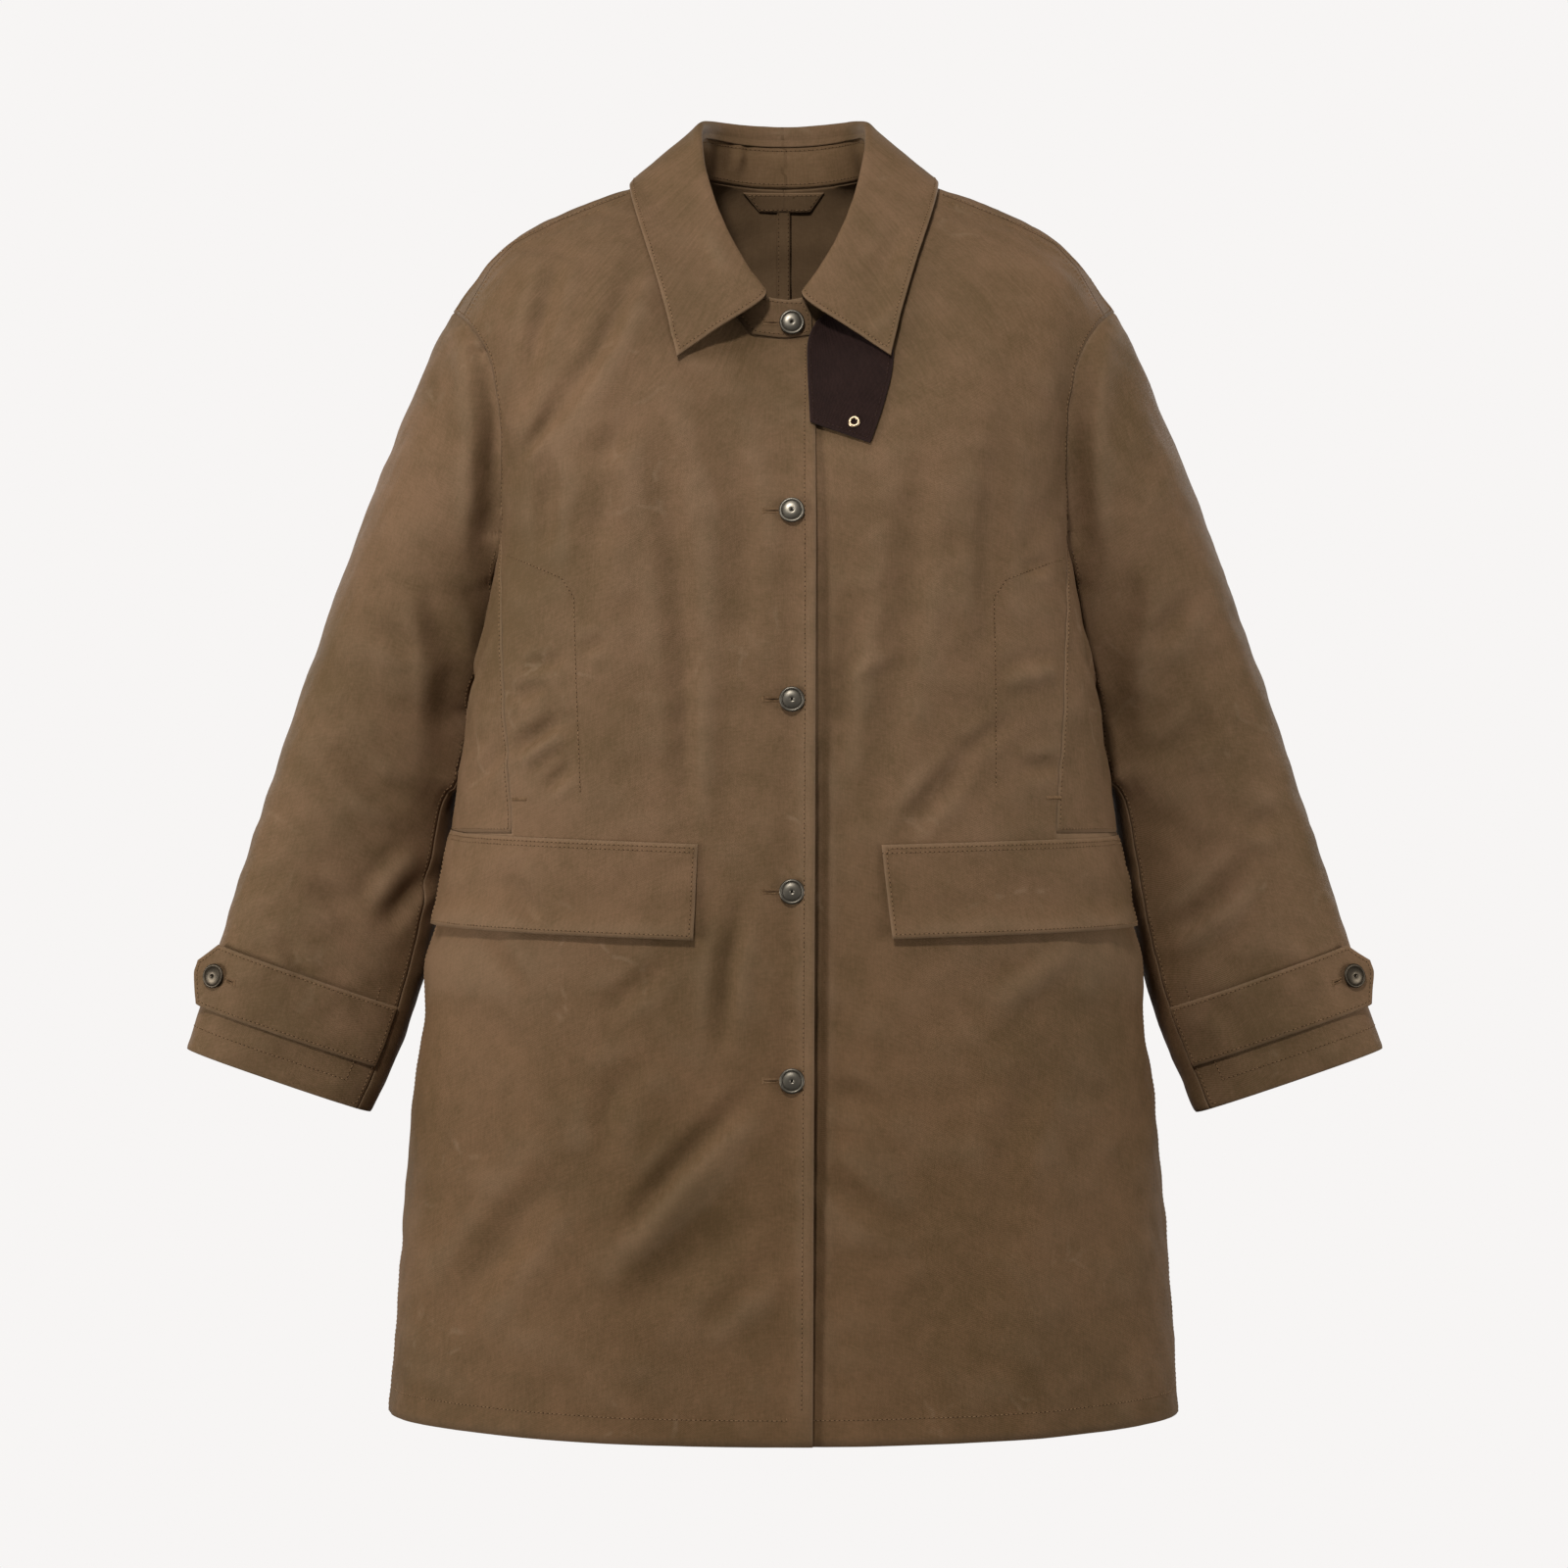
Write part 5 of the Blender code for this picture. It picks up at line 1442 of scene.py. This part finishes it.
def cloth_pieces() -> list[ClothShell]:
    """Lists the coat's cloth pieces with their cuts."""
    shells = [
        ClothShell("collar_fall", (0.55, 0.115), 0.050, COLLAR_CREASES, Grain.NECK, rumple_height=0.0004),
        ClothShell(
            "collar_stand", (0.50, 0.031), 0.014, STAND_CREASES, Grain.NECK,
            rumple_height=0.0002, fold_angle=math.radians(60.0),
        ),
        ClothShell("throat_tab", (0.068, 0.118), 0.0065, FRONT_CREASES, rumple_height=0.0010),
        ClothShell("hanger_loop", (0.061, 0.0146), 0.00085, (), Grain.NECK, True, rumple_height=0.0001),
    ]
    for _, side in SIDES:
        shells += [
            ClothShell(f"front_{side}", (0.36, 0.93), 0.281, FRONT_CREASES + SIDE_CREASES + LAPS[side]),
            ClothShell(f"side_front_{side}", (0.13, 0.22), 0.0213, FRONT_CREASES + SIDE_CREASES),
            ClothShell(f"back_{side}", (0.37, 0.95), 0.280, BACK_CREASES + SIDE_CREASES),
            ClothShell(f"sleeve_upper_{side}", (0.36, 0.62), 0.1735, SLEEVE_CREASES, Grain.ARM),
            ClothShell(f"sleeve_under_{side}", (0.09, 0.45), 0.030, SLEEVE_CREASES, Grain.ARM),
            ClothShell(f"cuff_tab_{side}", (0.19, 0.057), 0.0070, SLEEVE_CREASES, Grain.ARM),
            ClothShell(f"pocket_flap_{side}", (0.25, 0.072), 0.0165, FRONT_CREASES + FLAP_CURL),
        ]
    return shells


# Distances of the stitching from the borders
EDGE_INSET = 0.0030
HEM_INSET = 0.0190
CUFF_INSET = 0.0180


def below(level: float) -> tuple[float, float, float, float]:
    """Returns a seam line's window over everything below a level."""
    return (-1.0, 1.0, -1.0, level)


def seam_lines() -> list[SeamLine]:
    """Lists the stitching that runs beside the pieces' borders."""
    lines = [
        SeamLine("front_right", 0.0080, clear=("collar_stand",), window=(0.008, 0.06, -0.894, 0.0)),
        SeamLine("collar_fall", EDGE_INSET, clear=("collar_stand",), reach=0.006),
        SeamLine("collar_stand", 0.0025, window=(-0.06, 0.06, -0.30, -0.06)),
        SeamLine("throat_tab", EDGE_INSET, window=below(-0.112)),
        SeamLine("collar_stand", 0.0028, window=(-0.090, 0.090, -0.05, 0.06), skin=Skin.INNER),
        SeamLine("hanger_loop", 0.0020),
    ]
    for _, name in SIDES:
        front, back = f"front_{name}", f"back_{name}"
        upper, under = f"sleeve_upper_{name}", f"sleeve_under_{name}"
        lines += [
            SeamLine(front, HEM_INSET, window=below(-0.897)),
            SeamLine(back, HEM_INSET, window=below(-0.897)),
            SeamLine(front, EDGE_INSET, beside=(back,)),
            SeamLine(front, EDGE_INSET, beside=(upper, under)),
            SeamLine(back, EDGE_INSET, beside=(upper, under)),
            SeamLine(back, EDGE_INSET, beside=(front, f"side_front_{name}"), window=below(-0.2)),
            SeamLine(f"side_front_{name}", EDGE_INSET, beside=(front,)),
            SeamLine(upper, CUFF_INSET, window=below(-0.60)),
            SeamLine(upper, EDGE_INSET, beside=(under,)),
            SeamLine(f"pocket_flap_{name}", EDGE_INSET),
            SeamLine(f"pocket_flap_{name}", 0.0062, window=(-1.0, 1.0, -0.492, 0.0)),
            SeamLine(f"cuff_tab_{name}", EDGE_INSET),
        ]
    lines.append(SeamLine("back_left", EDGE_INSET, beside=("back_right",)))
    return lines


# Routes of the pocket bags' stitching on the fronts, and of the short bar tacks
POCKET_ROUTES = (
    ((-0.203, -0.279), (-0.160, -0.298), (-0.151, -0.312), (-0.149, -0.376), (-0.146, -0.452)),
    ((0.203, -0.282), (0.160, -0.299), (0.151, -0.312), (0.152, -0.380), (0.152, -0.447)),
)
SHOULDER_ROUTE = (
    (0.1166, -0.0121), (0.1635, -0.0308), (0.1990, -0.0490), (0.2150, -0.0665), (0.2355, -0.1030),
)
SHOULDER_STITCH_DROP = -0.0045
LOOP_TACKS = (((-0.0225, -0.0008), (-0.0225, -0.0066)), ((0.0070, -0.0008), (0.0070, -0.0066)))
TACK_ROUTES = (((-0.196, -0.457), (-0.185, -0.457)), ((0.189, -0.456), (0.200, -0.456)))
BUTTON_LEVELS = (-0.1115, -0.2505, -0.3855, -0.5230, -0.6580)
BUTTONHOLE_SPAN = (-0.0150, -0.0012)
CUFF_HOLE_SPAN = (0.4060, 0.4130)
CUFF_HOLE_LEVELS = (-0.5935, -0.5905)
# Painted shade of a buttonhole's opening: its width, and its length as a share of the buttonhole
SLIT_SHADE_WIDTH = 0.0007
SLIT_SHADE_SHARE = 0.84
PURL_OFFSET = 0.0011
BAR_HALF = 0.0022


class Coat:
    """The whole coat: cloth shells, sewing and metal pieces."""

    def __init__(self, nodes: dict[str, bpy.types.Object]) -> None:
        """Keeps the CAD nodes that the pieces are made on.

        Args:
            nodes: CAD node names and their objects.
        """
        self.nodes = nodes
        self.shells: dict[str, ClothShell] = {}
        self.turned: list[TurnedPiece] = []
        self.strip = SeamStrip()
        self.brown = Sewing("sewing", BROWN_THREAD, "waxed_cotton")
        self.dark = Sewing("tab_sewing", DARK_THREAD, "tab_cloth")
        # Painted shade: needle holes, buttonhole openings and seam grooves, sewn as dark marks
        self.slot_shade_marks = Sewing("slit_and_hole_shade", SLOT_SHADE, "waxed_cotton", (5, 2))

    def build(self) -> None:
        """Builds every piece."""
        for shell in cloth_pieces():
            shell.build(self.nodes[shell.node])
            self.shells[shell.node] = shell
        for way, side in SIDES:
            sleeve = self.chosen(f"sleeve_upper_{side}", f"sleeve_under_{side}")
            body = self.chosen(f"front_{side}", f"back_{side}")
            sew_together(sleeve, body, reach=0.014, ease=0.030, even_over=0.010)
            sew_together(sleeve, body, reach=0.008, ease=0.010, even_over=0.0025)
            for shell in sleeve:
                shell.lean(-way, level=-0.335, spread=0.042, reach=0.0095)
            cloth = joint_tree([*body, self.shells[f"side_front_{side}"]])
            lay_down(self.shells[f"pocket_flap_{side}"], cloth, above=FLAP_SEAM, ease=0.012)
        back_left, back_right = self.chosen("back_left"), self.chosen("back_right")
        sew_together(back_left, back_right, reach=0.003, ease=0.012, even_over=0.004)
        stand, fall = self.chosen("collar_stand"), self.chosen("collar_fall")
        sew_together(stand, fall, reach=0.007, ease=0.006, even_over=0.004)
        self.strip.build(joint_tree(self.chosen("back_right", "back_left"), Skin.INNER))
        buttons = [f"front_button_{number}" for number in range(1, len(BUTTON_LEVELS) + 1)]
        buttons += [f"cuff_button_{side}" for _, side in SIDES]
        self.turned = [TurnedPiece(node, BUTTON_PROFILE, crest=0.0025) for node in buttons]
        self.turned.append(TurnedPiece("throat_tab_eyelet", EYELET_PROFILE, crest=0.0))
        for piece in self.turned:
            piece.build(self.nodes[piece.node])
        self.sew_borders()
        self.sew_routes()
        self.sew_buttonholes()

    def chosen(self, *names: str) -> list[ClothShell]:
        """Returns the shells of the named nodes."""
        return [self.shells[name] for name in names]

    def beside(self, names: Sequence[str], reach: float) -> Callable[[np.ndarray], np.ndarray]:
        """Makes a test of which points lie beside the borders of pieces.

        Args:
            names: Nodes of the pieces.
            reach: Distance that counts as beside.

        Returns:
            A function from points to truth values.
        """
        borders = []
        for shell in self.chosen(*names):
            for loops in shell.rims.values():
                borders += [shell.points[loop] for loop in loops]
        lookup = point_lookup(np.concatenate(borders))
        return lambda points: np.array([lookup.find(point)[2] < reach for point in points])

    def keeper(self, line: SeamLine) -> Callable[[np.ndarray], np.ndarray]:
        """Makes a test of which border points a seam line lies beside.

        Args:
            line: The seam line.

        Returns:
            A function from points to truth values.
        """
        near = self.beside(line.beside, line.reach) if line.beside else None
        apart = self.beside(line.clear, line.reach) if line.clear else None

        def keep(points: np.ndarray) -> np.ndarray:
            """Tells which points are in the window, near some pieces and apart from others."""
            x0, x1, z0, z1 = line.window
            across, up = points[:, 0], points[:, 2]
            kept = (across > x0) & (across < x1) & (up > z0) & (up < z1)
            kept &= near(points) if near else True
            return kept & ~apart(points) if apart else kept

        return keep

    def topstitch(self, row: StitchRow, thread: Sewing) -> None:
        """Sews a row with a thread, and paints dark shade at its needle holes."""
        thread.sew(row)
        self.slot_shade_marks.sew(row, NEEDLE_HOLE_SHADE)

    def sew_borders(self) -> None:
        """Sews the stitching that runs beside the pieces' borders."""
        for line in seam_lines():
            thread = self.dark if line.node == "throat_tab" else self.brown
            shell = self.shells[line.node]
            for row in shell.border_rows(line.inset, self.keeper(line), line.skin):
                self.topstitch(row, thread)
        for row in self.strip.rows_of_stitches(STRIP_STITCHES):
            self.topstitch(row, self.brown)
        # Painted shade: a dark line beside the felled seam strip
        for row in self.strip.rows_of_stitches(STRIP_GROOVE_SHADE, GROOVE_SHADE_HEIGHT):
            self.slot_shade_marks.sew(row, GROOVE_SHADE)

    def sew_routes(self) -> None:
        """Sews the pocket bags, the shoulder seams and the bar tacks."""
        fronts = [name for name in self.shells if name.startswith(("front_", "side_front_"))]
        tree = joint_tree(self.chosen(*fronts))
        for route in POCKET_ROUTES:
            self.topstitch(route_row(tree, route), self.brown)
        shoulders = joint_tree(self.chosen("front_right", "front_left", "back_right", "back_left"))
        for side, _ in SIDES:
            # Painted shade: a dark line along each shoulder seam, and topstitching just below it
            rows = ((0.0, self.slot_shade_marks, GROOVE_SHADE), (SHOULDER_STITCH_DROP, self.brown, TOPSTITCH))
            for lift, thread, needle in rows:
                route = [(side * x, z + lift) for x, z in SHOULDER_ROUTE]
                thread.sew(route_row(shoulders, route), needle)
        loop = self.shells["hanger_loop"].tree()
        for route in LOOP_TACKS:
            self.brown.sew(route_row(loop, route), PURL)
        for route in TACK_ROUTES:
            self.brown.sew(route_row(tree, route), BAR_TACK)

    def sew_buttonholes(self) -> None:
        """Sews the buttonholes of the front and of the cuff tabs."""
        overlap = joint_tree(self.chosen("front_right", "collar_stand"))
        for level in BUTTON_LEVELS:
            self.sew_buttonhole(overlap, *[(x, level) for x in BUTTONHOLE_SPAN])
        for side, name in SIDES:
            tree = self.shells[f"cuff_tab_{name}"].tree()
            self.sew_buttonhole(tree, *[(side * x, z) for x, z in zip(CUFF_HOLE_SPAN, CUFF_HOLE_LEVELS)])

    def sew_buttonhole(self, tree: BVHTree, first: tuple[float, float], last: tuple[float, float]) -> None:
        """Sews one buttonhole between two points, with a bar at the first."""
        for lift in (-PURL_OFFSET, PURL_OFFSET):
            route = [(x, z + lift) for x, z in (first, last)]
            self.brown.sew(route_row(tree, route), PURL)
        # Painted shade: a dark spindle in the opening of the buttonhole
        slit = route_row(tree, (first, last))
        span = max(slit.lengths()[-1], SLIT_SHADE_WIDTH)
        self.slot_shade_marks.sew(slit, Needle(span * SLIT_SHADE_SHARE, span * 0.999, SLIT_SHADE_WIDTH, SLIT_SHADE_WIDTH * 0.45))
        bar = [(first[0], first[1] + lift) for lift in (-BAR_HALF, BAR_HALF)]
        self.brown.sew(route_row(tree, bar), PURL)

    def dress(self) -> None:
        """Gives every piece its finish."""
        weave, wax = weave_group(), wax_group()
        outer = OUTER_CLOTH.material(weave, wax)
        # Painted light: the inside and stand finishes are lighter copies of the outer cloth; the hanger
        # loop, the felled seam, the inner skins and the stand's inner face take them
        inner = LIT_INNER_CLOTH.material(weave, wax)
        stand = LIT_STAND_CLOTH.material(weave, wax)
        dark = DARK_CLOTH.material(weave, wax)
        special = {
            "throat_tab": (dark, dark, dark),
            "collar_stand": (outer, stand, outer),
            "collar_fall": (outer, outer, outer),
            "hanger_loop": (inner, inner, inner),
        }
        for shell in self.shells.values():
            slot = "tab_cloth" if shell.node == "throat_tab" else "waxed_cotton"
            shell.dress(special.get(shell.node, (outer, inner, outer)), slot)
        self.strip.dress(inner, "waxed_cotton")
        # Painted shade: the cuff buttons take the darker copy of the button metal
        button, cuff = BUTTON_METAL.material(), SHADED_CUFF_METAL.material()
        for piece in self.turned:
            if piece.node == "throat_tab_eyelet":
                piece.dress(EYELET_METAL.material(), "eyelet_metal")
            else:
                piece.dress(cuff if piece.node.startswith("cuff_") else button, "button_metal")
        for thread in (self.brown, self.dark, self.slot_shade_marks):
            thread.build()


@dataclass(frozen=True)
class Lamp:
    """A soft square light aimed at the coat.

    Attributes:
        name: Name of the light.
        place: Where it stands.
        size: Length of its side.
        power: Power in watts.
    """

    name: str
    place: tuple[float, float, float]
    size: float
    power: float

    def build(self, aim: Vector) -> None:
        """Sets the light up, looking at a point."""
        lamp = bpy.data.lights.new(self.name, "AREA")
        lamp.size = self.size
        lamp.energy = self.power
        stand = new_piece(self.name, lamp)
        stand.location = self.place
        stand.rotation_euler = (aim - stand.location).to_track_quat("-Z", "Y").to_euler()


@dataclass
class Studio:
    """Plain white studio with soft light, and the camera of the photograph.

    Attributes:
        eye: Place of the camera, which looks along +Y.
        half_frame: Half the width that it sees at the coat's middle.
        paper: Brightness of the backdrop.
        paper_depth: Place of the backdrop along Y, behind any camera that looks at the back.
        fill: Grey light from all around.
        aim: Point that the lights look at.
        lamps: The soft lights.
    """

    eye: tuple[float, float, float] = (0.0, -4.5, -0.446)
    half_frame: float = 0.58
    paper: tuple[float, float, float] = (0.930, 0.913, 0.905)
    paper_depth: float = 7.0
    fill: float = 0.22
    aim: tuple[float, float, float] = (0.0, 0.0, -0.45)
    lamps: tuple[Lamp, ...] = (
        Lamp("key", (-0.7, -2.9, 1.8), 0.4, 94.0),
        Lamp("top", (-0.2, -0.9, 2.6), 1.4, 32.0),
        Lamp("side_right", (3.2, -1.2, -0.8), 1.6, 64.0),
        Lamp("side_left", (-3.2, -1.2, -0.9), 1.6, 98.0),
        Lamp("back_right", (2.4, 3.4, 1.0), 1.4, 62.0),
        Lamp("back_left", (-2.4, 3.4, 0.8), 1.4, 48.0),
    )

    def build(self) -> None:
        """Builds the backdrop, the lights and the camera."""
        scene = bpy.context.scene
        scene.view_settings.view_transform = "Standard"
        world = bpy.data.worlds.new("studio")
        world.use_nodes = True
        sky = world.node_tree.nodes["Background"].inputs["Color"]
        sky.default_value = (self.fill, self.fill, self.fill, 1.0)
        scene.world = world
        self.build_backdrop()
        for lamp in self.lamps:
            lamp.build(Vector(self.aim))
        lens = bpy.data.cameras.new("view")
        lens.angle = 2.0 * math.atan(self.half_frame / -self.eye[1])
        camera = new_piece("view", lens)
        camera.location = self.eye
        camera.rotation_euler = (math.pi / 2, 0.0, 0.0)
        scene.camera = camera

    def build_backdrop(self) -> None:
        """Builds the paper: a wall behind the coat that gives off an even light."""
        material, graph, shader = new_material("paper")
        graph.feed(shader, {
            "Base Color": (0.0, 0.0, 0.0, 1.0),
            "Specular IOR Level": 0.0,
            "Emission Color": (*self.paper, 1.0),
            "Emission Strength": 1.0,
        })
        sweep = bmesh.new()
        outline = ((-2.6, -3.0), (2.6, -3.0), (2.6, 2.1), (-2.6, 2.1))
        sweep.faces.new([sweep.verts.new((x, self.paper_depth, z)) for x, z in outline])
        mesh = finished_mesh(sweep, "paper")
        mesh.materials.append(material)
        new_piece("paper", mesh)


def main() -> None:
    """Builds and dresses the coat and its studio."""
    logging.basicConfig(level=logging.INFO, format="%(name)s: %(message)s")
    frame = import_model()
    coat = Coat(frame["nodes"])
    coat.build()
    coat.dress()
    Studio().build()


if __name__ == "__main__":
    main()
